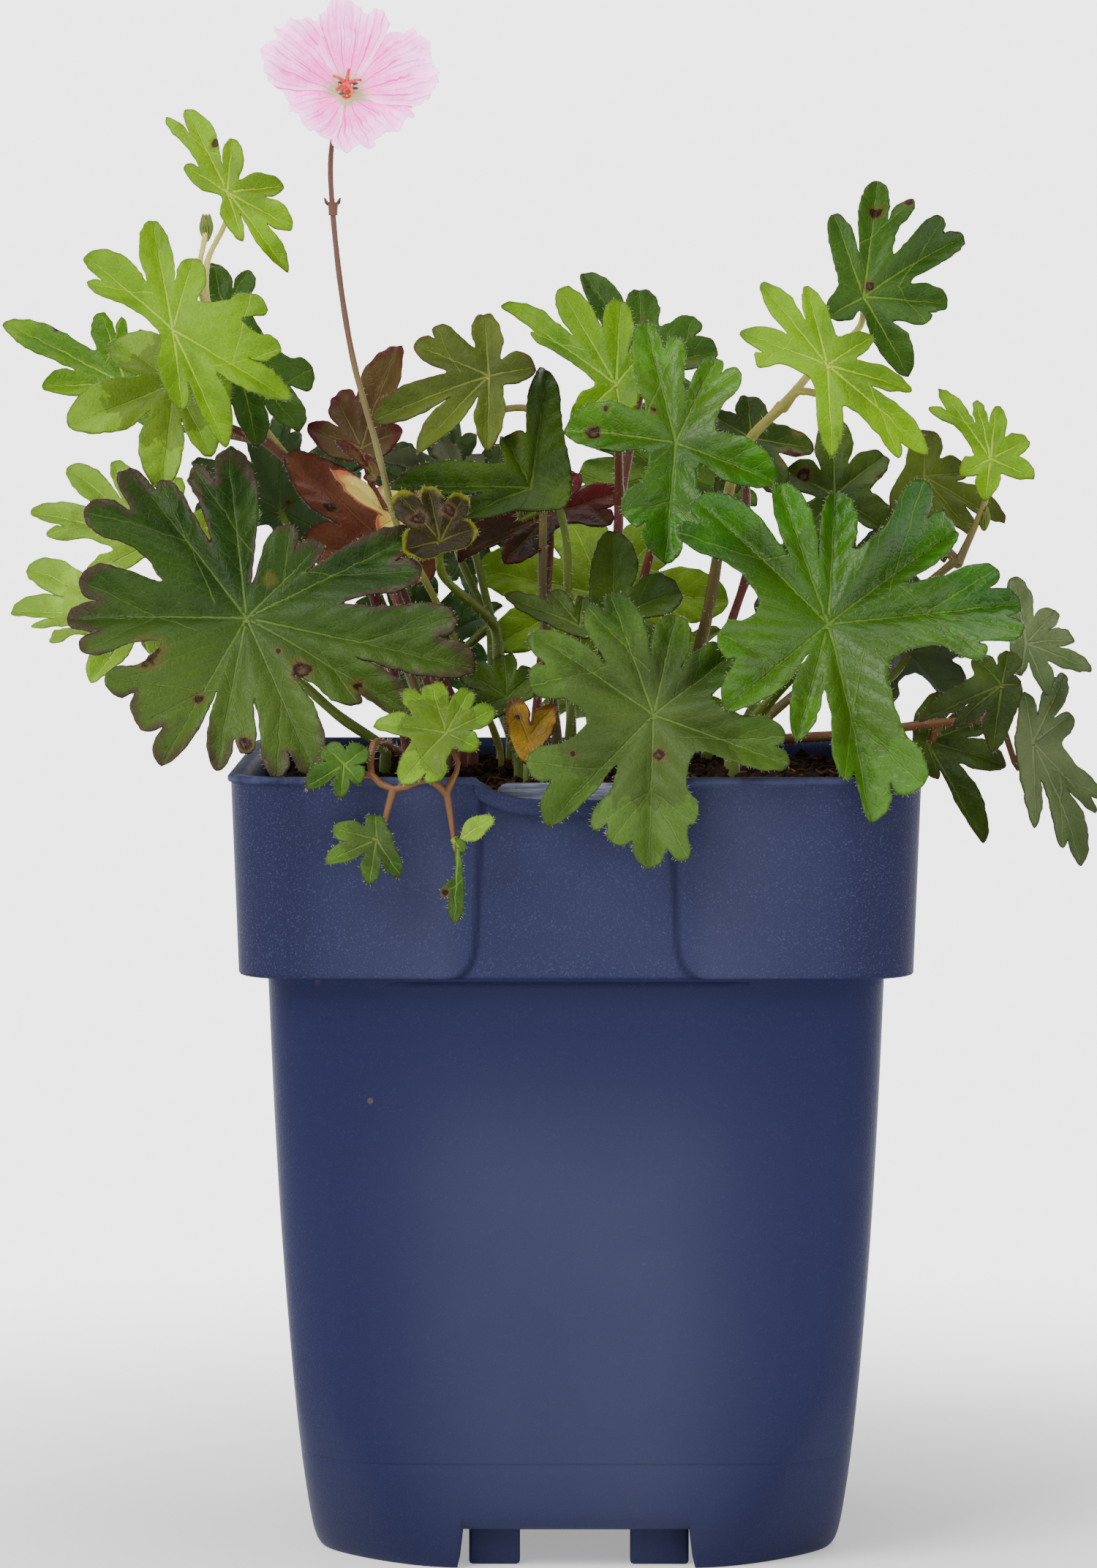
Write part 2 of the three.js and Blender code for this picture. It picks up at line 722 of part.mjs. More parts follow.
        tips: [[52.5, 254.5, 0.4], [54, 276.2, 0.4], [63.8, 284.5, 0.7], [70.7, 278, 0.45],
          [77, 275.3, 0.88], [82, 273.8, 0.45], [77.8, 257.5, 0.85], [72.8, 252.2, 0.5], [69.3, 242.7, 0.25]],
        stem: { from: [43, 235.5, -16], via: [[50, 244, -10]] },
      },
      {
        at: [52.5, 244.3], y: -26, face: [0, -0.9, 0.42], width: 2.7,
        tips: [[37.7, 243.5, 0.78], [34.3, 252.2, 0.5], [38.7, 261.8, 0.5], [48.3, 261.7, 0.4],
          [62.3, 250.8, 0.4], [70.2, 239.5, 0.45], [73.3, 226.8, 0.85], [67.2, 225.7, 0.45],
          [53.2, 225.7, 0.3]],
        stem: { from: [43, 235.5, -16], via: [[46.5, 239, -20]] },
      },
    ],
    stems: [{ from: [20, 2], path: [[27, 190, -2], [34.5, 226, -12], [43, 236, -16]], radius: 1.15 }],
  },
  {
    name: 'stem_right',
    colour: colours.bright,
    leaves: [
      {
        at: [86.7, 224.7], y: -14, face: [0, -0.86, 0.5], width: 2.6,
        tips: [[74, 234.7, 0.75], [76.7, 240.8, 0.5], [84.2, 238.3, 0.6], [88.3, 236, 0.5],
          [94.8, 228.7, 0.6], [95.7, 220.8, 0.45], [85.3, 216.3, 0.6], [80.2, 221.5, 0.3]],
        stem: { from: [80, 203, -8], via: [[84, 212, -8]], radius: 0.75 },
      },
      {
        at: [72.8, 221], y: 4, face: [0.1, -0.84, 0.52], width: 3.2,
        tips: [[66, 214, 0.4], [73, 231, 0.5], [82, 222, 0.45], [89.7, 212, 0.6], [82.3, 209.5, 0.5],
          [77, 205, 0.3]],
        stem: { from: [80, 203, -8], via: [[76, 208, 2]] },
      },
    ],
    stems: [{ from: [34, 2], path: [[56, 184, 0], [80, 204, -8]], radius: 0.95 }],
    buds: [{ at: [85.4, 212, -8], size: 2.2 }],
  },
  {
    name: 'leaf_glossy_right',
    colour: colours.green,
    leaves: [
      {
        at: [52.7, 190], y: -64, face: [0.14, -0.88, 0.42], width: 3.9, droop: 0.06, fold: 0.7,
        tips: [[30.8, 172.8, 0.85], [28.7, 186.3, 0.5], [19.8, 206.5, 0.88], [25.7, 217.5, 0.45],
          [42.3, 218.7, 0.45], [54.8, 217.8, 0.5], [72.2, 217.3, 0.85], [81, 210.8, 0.5], [88.3, 200.3, 0.88],
          [93.3, 193.7, 0.92], [92.7, 185.7, 0.85], [84.5, 180.7, 0.42], [71.8, 156.2, 0.88],
          [62.3, 151.8, 0.85], [55.5, 158, 0.5], [45.7, 166, 0.3]],
        stem: { from: [32, -28], via: [[44, 178, -46]], radius: 1.3 },
      },
    ],
  },
  {
    name: 'leaf_matte_front',
    colour: colours.green,
    leaves: [
      {
        at: [16.2, 171], y: -71, face: [0, -0.95, 0.3], width: 3.7, droop: 0.05, fold: 0.6,
        tips: [[-6.2, 148.7, 0.85], [-10.5, 159.5, 0.5], [-9.8, 175.8, 0.85], [-9.5, 188.7, 0.5],
          [2.3, 193, 0.9], [7.2, 196, 0.5], [21, 191.8, 0.5], [33.3, 184.2, 0.5], [43.8, 166, 0.9],
          [44.7, 161, 0.45], [24.7, 148, 0.9], [23.2, 141.2, 0.9], [15.2, 140, 0.9], [7.2, 144.2, 0.9],
          [3.5, 147, 0.45]],
        stem: { from: [14, -44], via: [[15, 170, -58]], radius: 1.2 },
      },
    ],
  },
  {
    name: 'stem_trailing_right',
    colour: colours.dark,
    leaves: [
      {
        at: [89.2, 177.3], y: -20, face: [0.15, -0.85, 0.5], width: 2.7,
        tips: [[86.8, 163.7, 0.5], [79, 169.5, 0.5], [71.8, 170.8, 0.45], [83.7, 183.2, 0.5],
          [91, 184.5, 0.5],
          [93.4, 177.5, 0.5]],
        stem: { from: [84, 170.5, -2] },
      },
      {
        at: [73.5, 165.5], y: 6, face: [0.1, -0.9, 0.4], width: 3.4,
        tips: [[85.3, 145, 0.4], [76, 158, 0.3], [76.5, 176, 0.4], [88.5, 171, 0.45], [90.5, 161, 0.4]],
        stem: { from: [76, 169.5, 2], radius: 0.9 },
      },
      {
        at: [94.3, 186], y: -6, face: [0.1, -0.85, 0.5], width: 2.4,
        tips: [[92.2, 200.8, 0.45], [101, 192.8, 0.5], [104.8, 187, 0.5], [108.2, 181, 0.45],
          [98.5, 175.5, 0.45],
          [92.8, 179.5, 0.3]],
        stem: { from: [88.3, 174.3, -2], via: [[91.5, 180.5, -3]], radius: 0.8 },
      },
      {
        at: [95.7, 165.2], y: -12, face: [0.35, -0.85, 0.4], width: 2.7,
        tips: [[94.5, 176, 0.4], [103.8, 179.8, 0.5], [104.5, 171, 0.4], [110.8, 153.8, 0.85],
          [109.8, 151, 0.5],
          [107.6, 141.5, 0.85], [102.3, 144.2, 0.4], [96, 148, 0.3]],
        stem: { from: [84.3, 170.6, -2], via: [[89, 169, -6]], radius: 0.8 },
      },
    ],
    stems: [{ from: [38, 12], path: [[56, 167, 8], [76, 169.5, 2], [84, 170.5, -2],
      [88.5, 174.5, -2]], radius: 1 }],
  },
  {
    name: 'runner_front',
    colour: colours.bright,
    leaves: [
      {
        at: [-27.3, 167.2], y: -75, face: [0, -0.86, 0.5], width: 2.7,
        tips: [[-42.7, 169.7, 0.55], [-36.5, 175, 0.8], [-30.8, 178, 0.5], [-22.3, 176.3, 0.6],
          [-17.2, 172.2, 0.5],
          [-20.5, 164.2, 0.45], [-28.5, 157.5, 0.8], [-37, 157.5, 0.5]],
        stem: { from: [-27.3, 155, -75.5], via: [[-24.8, 161, -74.5]], radius: 0.6, lift: 2 },
      },
      {
        at: [-48.7, 160.5], y: -75, face: [0, -0.88, 0.48], width: 2.2,
        tips: [[-56.7, 156.2, 0.5], [-53, 164.2, 0.5], [-44, 164, 0.45], [-45.4, 156.8, 0.6],
          [-49.5, 154, 0.4]],
        stem: { from: [-43, 158.5, -74], radius: 0.6, lift: 2 },
      },
      {
        at: [-42, 144.8], y: -78, face: [0, -0.95, 0.3], width: 1.9,
        tips: [[-52.8, 140.2, 0.6], [-51.3, 147.2, 0.5], [-42.3, 150, 0.45], [-37, 137.4, 0.5],
          [-43.5, 135.8, 0.4]],
        stem: { from: [-38.5, 155.5, -75.5], radius: 0.6, lift: 2 },
      },
      {
        at: [-25, 143.5], y: -78, face: [0.1, -0.95, 0.3], width: 1.7,
        tips: [[-17.5, 149, 0.4], [-23, 133, 0.6], [-25.8, 127.3, 0.5], [-28, 133, 0.3]],
        stem: { from: [-27.3, 155, -75.5], radius: 0.6, lift: 2 },
      },
    ],
    stems: [
      {
        from: [-34, -48],
        path: [[-42, 165.5, -66], [-43, 163.5, -71], [-43, 158.5, -74], [-38.5, 155.5, -75.5],
          [-31, 157.5, -76],
          [-27.3, 154.5, -75.5]],
        radius: 0.75,
        step: 4,
      },
    ],
  },
  {
    name: 'stem_back_left',
    colour: colours.green,
    leaves: [
      {
        at: [-62, 214], y: 44, face: [-0.45, 0.75, 0.5], width: 4,
        tips: [[-84, 206, 0.5], [-80, 226, 0.5], [-62, 236, 0.5], [-42, 226, 0.5], [-44, 204, 0.5],
          [-58, 194, 0.2]],
        stem: { from: [-48, 192, 36] },
      },
      {
        at: [-72, 186], y: 40, face: [-0.7, 0.5, 0.5], width: 3.6,
        tips: [[-90, 176, 0.5], [-90, 196, 0.5], [-72, 204, 0.45], [-58, 190, 0.5], [-66, 170, 0.3]],
        stem: { from: [-48, 192, 36] },
      },
    ],
    stems: [{ from: [-26, 26], path: [[-40, 180, 32], [-48, 193, 36]], radius: 1.1 }],
  },
  {
    name: 'stem_back_centre_left',
    colour: colours.green,
    leaves: [
      {
        at: [-26, 214], y: 52, face: [-0.1, 0.8, 0.6], width: 4.2,
        tips: [[-46, 208, 0.5], [-44, 226, 0.5], [-26, 236, 0.5], [-8, 228, 0.5], [-6, 208, 0.5],
          [-22, 196, 0.25]],
        stem: { from: [-18, 190, 44] },
      },
      {
        at: [-34, 184], y: 66, face: [-0.15, 0.85, 0.5], width: 4,
        tips: [[-54, 178, 0.5], [-52, 194, 0.5], [-34, 204, 0.5], [-16, 196, 0.5], [-16, 178, 0.5],
          [-30, 164, 0.4]],
        stem: { from: [-18, 190, 44], radius: 1 },
      },
    ],
    stems: [{ from: [-14, 36], path: [[-17, 176, 40], [-18, 191, 44]], radius: 1.1 }],
  },
  {
    name: 'stem_back_centre_right',
    colour: colours.bright,
    leaves: [
      {
        at: [18, 222], y: 50, face: [0.1, 0.8, 0.6], width: 4,
        tips: [[-2, 216, 0.5], [2, 234, 0.5], [18, 242, 0.5], [34, 236, 0.5], [38, 216, 0.5],
          [20, 206, 0.25]],
        stem: { from: [16, 196, 50] },
      },
      {
        at: [12, 178], y: 70, face: [0.05, 0.88, 0.45], width: 4.2,
        tips: [[-8, 172, 0.5], [-6, 190, 0.5], [12, 200, 0.5], [30, 190, 0.5], [32, 172, 0.5],
          [16, 158, 0.4]],
        stem: { from: [16, 196, 50], via: [[14, 188, 60]], radius: 1 },
      },
    ],
    stems: [{ from: [14, 34], path: [[16, 180, 42], [16, 197, 50]], radius: 1.1 }],
  },
  {
    name: 'stem_back_right_low',
    colour: colours.dark,
    leaves: [
      {
        at: [52, 196], y: 52, face: [0.35, 0.8, 0.5], width: 4.2,
        tips: [[34, 188, 0.5], [36, 206, 0.5], [52, 218, 0.5], [70, 208, 0.5], [72, 190, 0.5],
          [56, 178, 0.25]],
        stem: { from: [40, 178, 40] },
      },
      {
        at: [70, 184], y: 36, face: [0.8, 0.4, 0.45], width: 3.6,
        tips: [[62, 171, 0.5], [58, 190, 0.5], [70, 202, 0.5], [82, 191, 0.5], [80, 173, 0.3]],
        stem: { from: [40, 178, 40], via: [[54, 180, 38]] },
      },
    ],
    stems: [{ from: [28, 28], path: [[34, 168, 34], [40, 179, 40]], radius: 1.1 }],
  },
];

// ---------- the flower ----------
const flower = {
  centre: place(-48.6, 303.2, -26),
  face: new THREE.Vector3(0.05, -0.86, 0.5).normalize(),
  // Petals clockwise from the top: turn of the middle line, length, half width, lift towards the viewer.
  petals: [
    { turn: 97, length: 18.5, half: 9.5, lift: 0.42 },
    { turn: 18, length: 19.5, half: 9.8, lift: 0.34 },
    { turn: -62, length: 16.5, half: 9.6, lift: 0.24 },
    { turn: -122, length: 13.5, half: 8.6, lift: 0.3 },
    { turn: 155, length: 18.2, half: 9.2, lift: 0.38 },
  ],
  stalk: [[-50.8, 292, -24], [-51.4, 286, -22], [-51, 277, -21], [-49.2, 260, -22], [-46.5, 244.5, -24],
    [-42, 228, -25], [-39.8, 219, -25], [-38, 212, -25]],
};

function flowerFrame() {
  const up = flower.face;
  const across = new THREE.Vector3(-up.y, up.x, 0).normalize();
  const along = new THREE.Vector3().crossVectors(up, across);
  return { up, across, along };
}

function petalBlade(petal) {
  const { up, across, along } = flowerFrame();
  const turn = THREE.MathUtils.degToRad(petal.turn);
  const out = across.clone().multiplyScalar(Math.cos(turn)).addScaledVector(along, Math.sin(turn));
  const side = new THREE.Vector3().crossVectors(up, out);
  const { length, half } = petal;
  const shape = [[0.4, -1.2], [0.32 * length, -0.55 * half], [0.62 * length, -0.95 * half],
    [0.85 * length, -0.86 * half], [0.97 * length, -0.45 * half], [length * 0.95, 0],
    [length, 0.42 * half], [0.86 * length, 0.88 * half], [0.6 * length, 0.98 * half],
    [0.32 * length, 0.55 * half], [0.4, 1.2]];
  const outline = shape.map(([x, y]) => new THREE.Vector2(x, y));
  const inner = [new THREE.Vector2(0.35 * length, 0), new THREE.Vector2(0.7 * length, 0)];
  const all = [...outline, ...inner];
  const [near, far] = [outline.length, outline.length + 1];
  const halves = [[0, 1, 2, 3, 4, 5, far, near], [0, near, far, 5, 6, 7, 8, 9, 10]];
  const triangles = [];
  for (const contour of halves) {
    for (const [a, b, c] of THREE.ShapeUtils.triangulateShape(contour.map((i) => all[i]), [])) {
      triangles.push([contour[a], contour[b], contour[c]]);
    }
  }
  const heightAt = (point) => {
    const share = point.x / length;
    const across2 = point.y / half;
    return petal.lift * length * Math.sin(1.4 * share) - 0.1 * half * across2 * across2
      + 0.05 * length * share * Math.sin(5 * across2);
  };
  const toSpace = (point, height) => flower.centre.clone()
    .addScaledVector(out, point.x)
    .addScaledVector(side, point.y)
    .addScaledVector(up, height);
  return blade(outline, inner, triangles, heightAt, petalThickness, toSpace);
}

function alongFlower(height) {
  return flower.centre.clone().addScaledVector(flower.face, height);
}

function corolla() {
  const hub = tube([alongFlower(-0.9), alongFlower(0.9)], 2.2, 6, 2);
  return joined([hub, ...flower.petals.map(petalBlade)], 'flower_petals');
}

function stamens() {
  const { up, across, along } = flowerFrame();
  const top = alongFlower(7);
  const column = tube([alongFlower(1.2), top], 0.8, 6, 8);
  const arms = [];
  for (let i = 0; i < 5; i += 1) {
    const turn = THREE.MathUtils.degToRad(80 + 72 * i);
    const out = across.clone().multiplyScalar(Math.cos(turn)).addScaledVector(along, Math.sin(turn));
    const tip = top.clone().addScaledVector(out, 3.1).addScaledVector(up, 1.2);
    arms.push(tube([top.clone().addScaledVector(up, -0.5), tip], 0.42, 4, 4));
  }
  return joined([column, ...arms], 'flower_stamens');
}

function flowerStalk() {
  const { up, across, along } = flowerFrame();
  const base = alongFlower(-1.2);
  const parts = [tube([alongFlower(-3.2), base], 1.7, 6, 3)];
  for (let i = 0; i < 5; i += 1) {
    const turn = THREE.MathUtils.degToRad(60 + 72 * i);
    const out = across.clone().multiplyScalar(Math.cos(turn)).addScaledVector(along, Math.sin(turn));
    const root = alongFlower(-2.4);
    const tip = root.clone().addScaledVector(out, 6.5).addScaledVector(up, 0.4);
    parts.push(tube([root, tip], 0.75, 4, 6));
  }
  const route = [alongFlower(-2.2), ...flower.stalk.map(([x, z, y]) => place(x, z, y))];
  parts.push(tube(route, 0.75, 5, 7));
  parts.push(bud([-51, 277, -21], 1.9));
  const seat = [-16, -6];
  const foot = [place(...flower.stalk[flower.stalk.length - 1]), place(-27, 190, -18)];
  parts.push(tube([...foot, footOf(seat)], 1));
  parts.push(rootPost(seat));
  return { solid: joined(parts, 'flower_stalk'), roots: [seat] };
}

// ---------- the pot ----------
function lumpAt(x, y) {
  return 0.9 * Math.sin(x * 0.21 + 1) * Math.cos(y * 0.24) + 0.5 * Math.sin(x * 0.09 - y * 0.13 + 2);
}

const cornerSteps = 3;
const flatStops = [-0.62, 0, 0.62];                       // points along each flat, as shares of its half length
const sectionCount = 4 * (flatStops.length + cornerSteps + 1);

function sectionPoint(step, half, corner, clip) {
  // A point of a rounded square that is held inside a circle of radius clip.
  const perSide = sectionCount / 4;
  const side = Math.floor(step / perSide);
  const within = step % perSide;
  const flat = half - corner;
  const turn = ((within - flatStops.length) / cornerSteps) * (Math.PI / 2);
  const point = within < flatStops.length
    ? new THREE.Vector2(half, flat * flatStops[within])
    : new THREE.Vector2(flat + corner * Math.cos(turn), flat + corner * Math.sin(turn));
  if (point.length() > clip) point.setLength(clip);
  return point.rotateAround(new THREE.Vector2(), (side * Math.PI) / 2);
}

function lofted(rings, inward = false) {
  // A lathe whose round rings are then pushed out to rounded squares.
  const segments = sectionCount;
  const profile = rings.map((ring) => new THREE.Vector2(ring.half, ring.z));
  const geometry = new THREE.LatheGeometry(profile, segments);
  geometry.rotateX(Math.PI / 2);
  const position = geometry.attributes.position;
  for (let i = 0; i <= segments; i += 1) {
    rings.forEach((ring, j) => {
      const spot = ring.half === 0
        ? new THREE.Vector2()
        : sectionPoint(i % segments, ring.half, Math.min(ring.corner, ring.half), ring.clip ?? 200);
      position.setXYZ(i * rings.length + j, spot.x, spot.y, ring.z + (ring.lumpy ? lumpAt(spot.x, spot.y) : 0));
    });
  }
  return solidOf(geometry, inward);
}

function potShell() {
  const { wall } = pot;
  const outside = [
    { z: pot.floorBottom, half: 0, corner: 0 },
    { z: pot.floorBottom, half: pot.footHalf - wall, corner: 9, clip: 58.5 },
    { z: 0, half: pot.footHalf - wall - 1, corner: 9, clip: 57.5 },
    { z: 0, half: pot.footHalf - 0.6, corner: 9, clip: 60 },
    { z: 3, half: pot.footHalf + 0.4, corner: 9, clip: 61.5 },
    { z: 13, half: 56.2, corner: 9, clip: 66 },
    { z: 22, half: 57, corner: 9, clip: 69.8 },
    { z: 37, half: 58, corner: 9.5, clip: 76 },
    { z: 60, half: 59.6, corner: 9.5, clip: 80.5 },
    { z: 90, half: 61.2, corner: 10 },
    { z: pot.collarBottom, half: pot.bodyTopHalf, corner: 10 },
    { z: pot.collarBottom, half: pot.collarBottomHalf - 0.7, corner: 12 },
    { z: pot.collarBottom + 0.8, half: pot.collarBottomHalf, corner: 12 },
    { z: pot.height - pot.lipHeight, half: pot.collarTopHalf, corner: 12 },
    { z: pot.height - pot.lipHeight, half: pot.rimHalf, corner: 12.5 },
    { z: pot.height, half: pot.rimHalf, corner: 12.5 },
  ];
  const inside = [
    { z: pot.height, half: pot.collarTopHalf - wall - 1, corner: 10.5 },
    { z: pot.collarBottom + 2.2, half: pot.collarBottomHalf - wall - 1.3, corner: 10 },
    { z: pot.collarBottom - 2.6, half: pot.bodyTopHalf - wall, corner: 8.6 },
    { z: 60, half: 59.6 - wall, corner: 8, clip: 79 },
    { z: 22, half: 57 - wall, corner: 8, clip: 68 },
    { z: pot.floorTop, half: 55.9 - wall, corner: 8, clip: 62.5 },
    { z: pot.floorTop, half: 0, corner: 0 },
  ];
  return lofted([...outside, ...inside]);
}

function fieldCutter() {
  // The sunken field between two corner panels, flared where the panels' lower corners are rounded.
  const { fieldHalfTop, fieldHalfBottom, fieldCorner } = pot;
  const low = pot.collarBottom - 0.4;
  const high = pot.height - pot.lipHeight - 1.2;
  const shape = new THREE.Shape();
  shape.moveTo(-fieldHalfTop, high);
  shape.lineTo(-fieldHalfBottom, low + fieldCorner);
  shape.absarc(-fieldHalfBottom - fieldCorner, low + fieldCorner, fieldCorner, 0, -Math.PI / 2, true);
  shape.lineTo(fieldHalfBottom + fieldCorner, low);
  shape.absarc(fieldHalfBottom + fieldCorner, low + fieldCorner, fieldCorner, -Math.PI / 2, -Math.PI, true);
  shape.lineTo(fieldHalfTop, high);
  const geometry = new THREE.ExtrudeGeometry(shape, { depth: 12, bevelEnabled: false, curveSegments: 4 });
  geometry.rotateX(Math.PI / 2);
  return geometry;
}

function scoopShape(half, top, dip, lower) {
  // A bar whose upper and lower edges sag to dip below their ends.
  const edge = (level) => {
    const points = [];
    for (let i = 0; i <= 8; i += 1) {
      const x = -half + (2 * half * i) / 8;
      const rise = (x / half) ** 4;
      points.push(new THREE.Vector2(x, level - dip * (1 - rise)));
    }
    return points;
  };
  const above = edge(top);
  const below = lower === undefined ? [new THREE.Vector2(half, top + 8), new THREE.Vector2(-half, top + 8)]
    : edge(lower).reverse();
  return new THREE.Shape([...above, ...below]);
}

function frontPrism(shape, front, back) {
  const geometry = new THREE.ExtrudeGeometry(shape, { depth: back - front, bevelEnabled: false, curveSegments: 3 });
  geometry.rotateX(Math.PI / 2);
  geometry.translate(0, back, 0);
  return solidOf(geometry);
}

function potSolid() {
  let solid = potShell();
  for (let side = 0; side < 4; side += 1) {
    const field = fieldCutter();
    field.translate(0, -(pot.collarTopHalf - pot.fieldDepth), 0);
    field.rotateZ((side * Math.PI) / 2);
    solid = solid.subtract(solidOf(field));
    const notch = new THREE.BoxGeometry(47, 12, 16);
    notch.translate(0, -pot.footHalf, 0);
    notch.rotateZ((side * Math.PI) / 2);
    solid = solid.subtract(solidOf(notch));
  }
  for (let i = 0; i < pot.drainHoles; i += 1) {
    const turn = ((i + 0.5) * fullTurn) / pot.drainHoles;
    const [x, y] = [pot.drainCircle * Math.cos(turn), pot.drainCircle * Math.sin(turn)];
    solid = solid.subtract(post(x, y, pot.floorBottom - 2, pot.floorTop + 2, pot.drainRadius, 8));
  }
  const feet = [post(0, 0, 0, pot.floorBottom + 1, 9, 12)];
  for (let side = 0; side < 4; side += 1) {
    for (const [centre, half] of [[-16.7, 5.2], [17, 6]]) {
      const foot = new THREE.BoxGeometry(2 * half, 5, pot.floorBottom + 1);
      foot.translate(centre, -46.5, (pot.floorBottom + 1) / 2);
      foot.rotateZ((side * Math.PI) / 2);
      feet.push(solidOf(foot));
    }
  }
  solid = solid.subtract(frontPrism(scoopShape(20.2, pot.height, 4.6), -74, -64));
  feet.push(frontPrism(scoopShape(20.6, pot.height - 0.2, 4.4, pot.height - 3.4), -70.2, -66.6));
  const tongue = new THREE.Shape();
  tongue.moveTo(-16, 146);
  tongue.lineTo(16, 146);
  tongue.lineTo(16, 158.6);
  tongue.absarc(13.6, 158.6, 2.4, 0, Math.PI / 2, false);
  tongue.lineTo(-13.6, 161);
  tongue.absarc(-13.6, 158.6, 2.4, Math.PI / 2, Math.PI, false);
  feet.push(frontPrism(tongue, -64.6, -63.2));
  feet.push(slab(15, 2.2, 147, 149.5, 0, -65.4));
  let whole = solid;
  for (const foot of feet) whole = whole.add(foot);
  return whole.simplify(minimumFeature);
}

// ---------- the soil ----------
function soilBlock() {
  const inset = pot.wall + soil.clearance;
  return lofted([
    { z: soil.top + 1, half: 0, corner: 0 },
    { z: soil.top + 1, half: 26, corner: 14, lumpy: true },
    { z: soil.top, half: 50, corner: 14, lumpy: true },
    { z: soil.top - 1.2, half: 61.4, corner: 9.8 },
    { z: pot.collarBottom + 1.6, half: 61.4, corner: 9.6 },
    { z: pot.collarBottom - 3.2, half: pot.bodyTopHalf - inset - 0.1, corner: 8.2 },
    { z: 60, half: 59.6 - inset, corner: 7.6, clip: 78.6 },
    { z: 22, half: 57 - inset, corner: 7.6, clip: 67.6 },
    { z: pot.floorTop + 0.35, half: 55.9 - inset, corner: 7.6, clip: 62 },
    { z: pot.floorTop + 0.35, half: 0, corner: 0 },
  ], true);
}

function soilSolid(roots) {
  let solid = soilBlock();
  for (const [x, y] of roots) {
    solid = solid.subtract(post(x, y, soil.top - soil.holeDepth, soil.top + 12, root.radius + root.clearance, 5));
  }
  return solid.simplify(minimumFeature);
}

// ---------- assembly ----------
const group = new THREE.Group();
const stalk = flowerStalk();
const roots = [...stalk.roots];

for (const node of leafyStems) {
  const parts = [];
  for (const leaf of node.leaves) {
    parts.push(leafBlade(leaf));
    parts.push(petiole(leaf));
  }
  for (const stem of node.stems ?? []) parts.push(freeStem(stem));
  for (const spot of knotsOf(node)) parts.push(knot(spot));
  for (const { at, size } of node.buds ?? []) parts.push(bud(at, size));
  const own = rootsOf(node);
  for (const foot of own) parts.push(rootPost(foot));
  roots.push(...own);
  group.add(meshOf(node.name, joined(parts, node.name), node.colour, 0.55));
}

group.add(meshOf('pot', potSolid(), colours.pot, 0.5));
group.add(meshOf('soil', soilSolid(roots), colours.soil, 0.95));
group.add(meshOf('flower_petals', corolla(), colours.petal, 0.5));
group.add(meshOf('flower_stamens', stamens(), colours.coral, 0.5));
group.add(meshOf('flower_stalk', stalk.solid, colours.stalk, 0.5));

export default group;
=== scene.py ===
import math
import random

import bmesh
import bpy
import numpy as np
from mathutils import Matrix, Vector


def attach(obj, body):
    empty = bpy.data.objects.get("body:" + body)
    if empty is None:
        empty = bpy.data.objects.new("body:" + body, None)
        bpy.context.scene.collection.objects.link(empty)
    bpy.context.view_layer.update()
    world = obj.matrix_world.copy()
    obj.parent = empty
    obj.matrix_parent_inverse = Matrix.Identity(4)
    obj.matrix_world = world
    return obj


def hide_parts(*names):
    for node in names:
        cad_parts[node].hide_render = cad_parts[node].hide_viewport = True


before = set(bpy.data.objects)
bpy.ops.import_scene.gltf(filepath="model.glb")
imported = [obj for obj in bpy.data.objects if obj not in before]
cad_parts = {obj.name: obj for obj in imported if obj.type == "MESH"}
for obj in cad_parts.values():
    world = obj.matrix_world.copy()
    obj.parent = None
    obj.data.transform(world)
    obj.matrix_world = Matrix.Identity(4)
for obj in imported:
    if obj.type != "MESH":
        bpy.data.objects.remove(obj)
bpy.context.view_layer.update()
mm = 0.001
print("frame loaded:", len(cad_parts), "nodes")


# A hardy geranium in a square nursery pot. Sizes in the tables are millimetres, as in the frame's source.
# Leaves are laid out as seen from a point in front of the pot, at leaf height.
layout = {"distance": 1400, "height": 248, "soilTop": 158.6, "crown": 165.1}


class Value:
    # An output socket; maths on it adds nodes to its tree.
    def __init__(self, tree, socket):
        self.tree = tree
        self.socket = socket

    def maths(self, operation, *others, clamp=False):
        node = self.tree.nodes.new("ShaderNodeMath")
        node.operation = operation
        node.use_clamp = clamp
        for slot, item in zip(node.inputs, (self, *others)):
            if isinstance(item, Value):
                self.tree.links.new(item.socket, slot)
            else:
                slot.default_value = item
        return Value(self.tree, node.outputs[0])

    def __add__(self, other):
        return self.maths("ADD", other)

    def __sub__(self, other):
        return self.maths("SUBTRACT", other)

    def __rsub__(self, other):
        return self.maths("MULTIPLY_ADD", -1.0, other)

    def __mul__(self, other):
        return self.maths("MULTIPLY", other)

    def __truediv__(self, other):
        return self.maths("DIVIDE", other)

    def __abs__(self):
        return self.maths("ABSOLUTE")

    __radd__ = __add__
    __rmul__ = __mul__

    def clamped(self):
        return self.maths("ADD", 0.0, clamp=True)


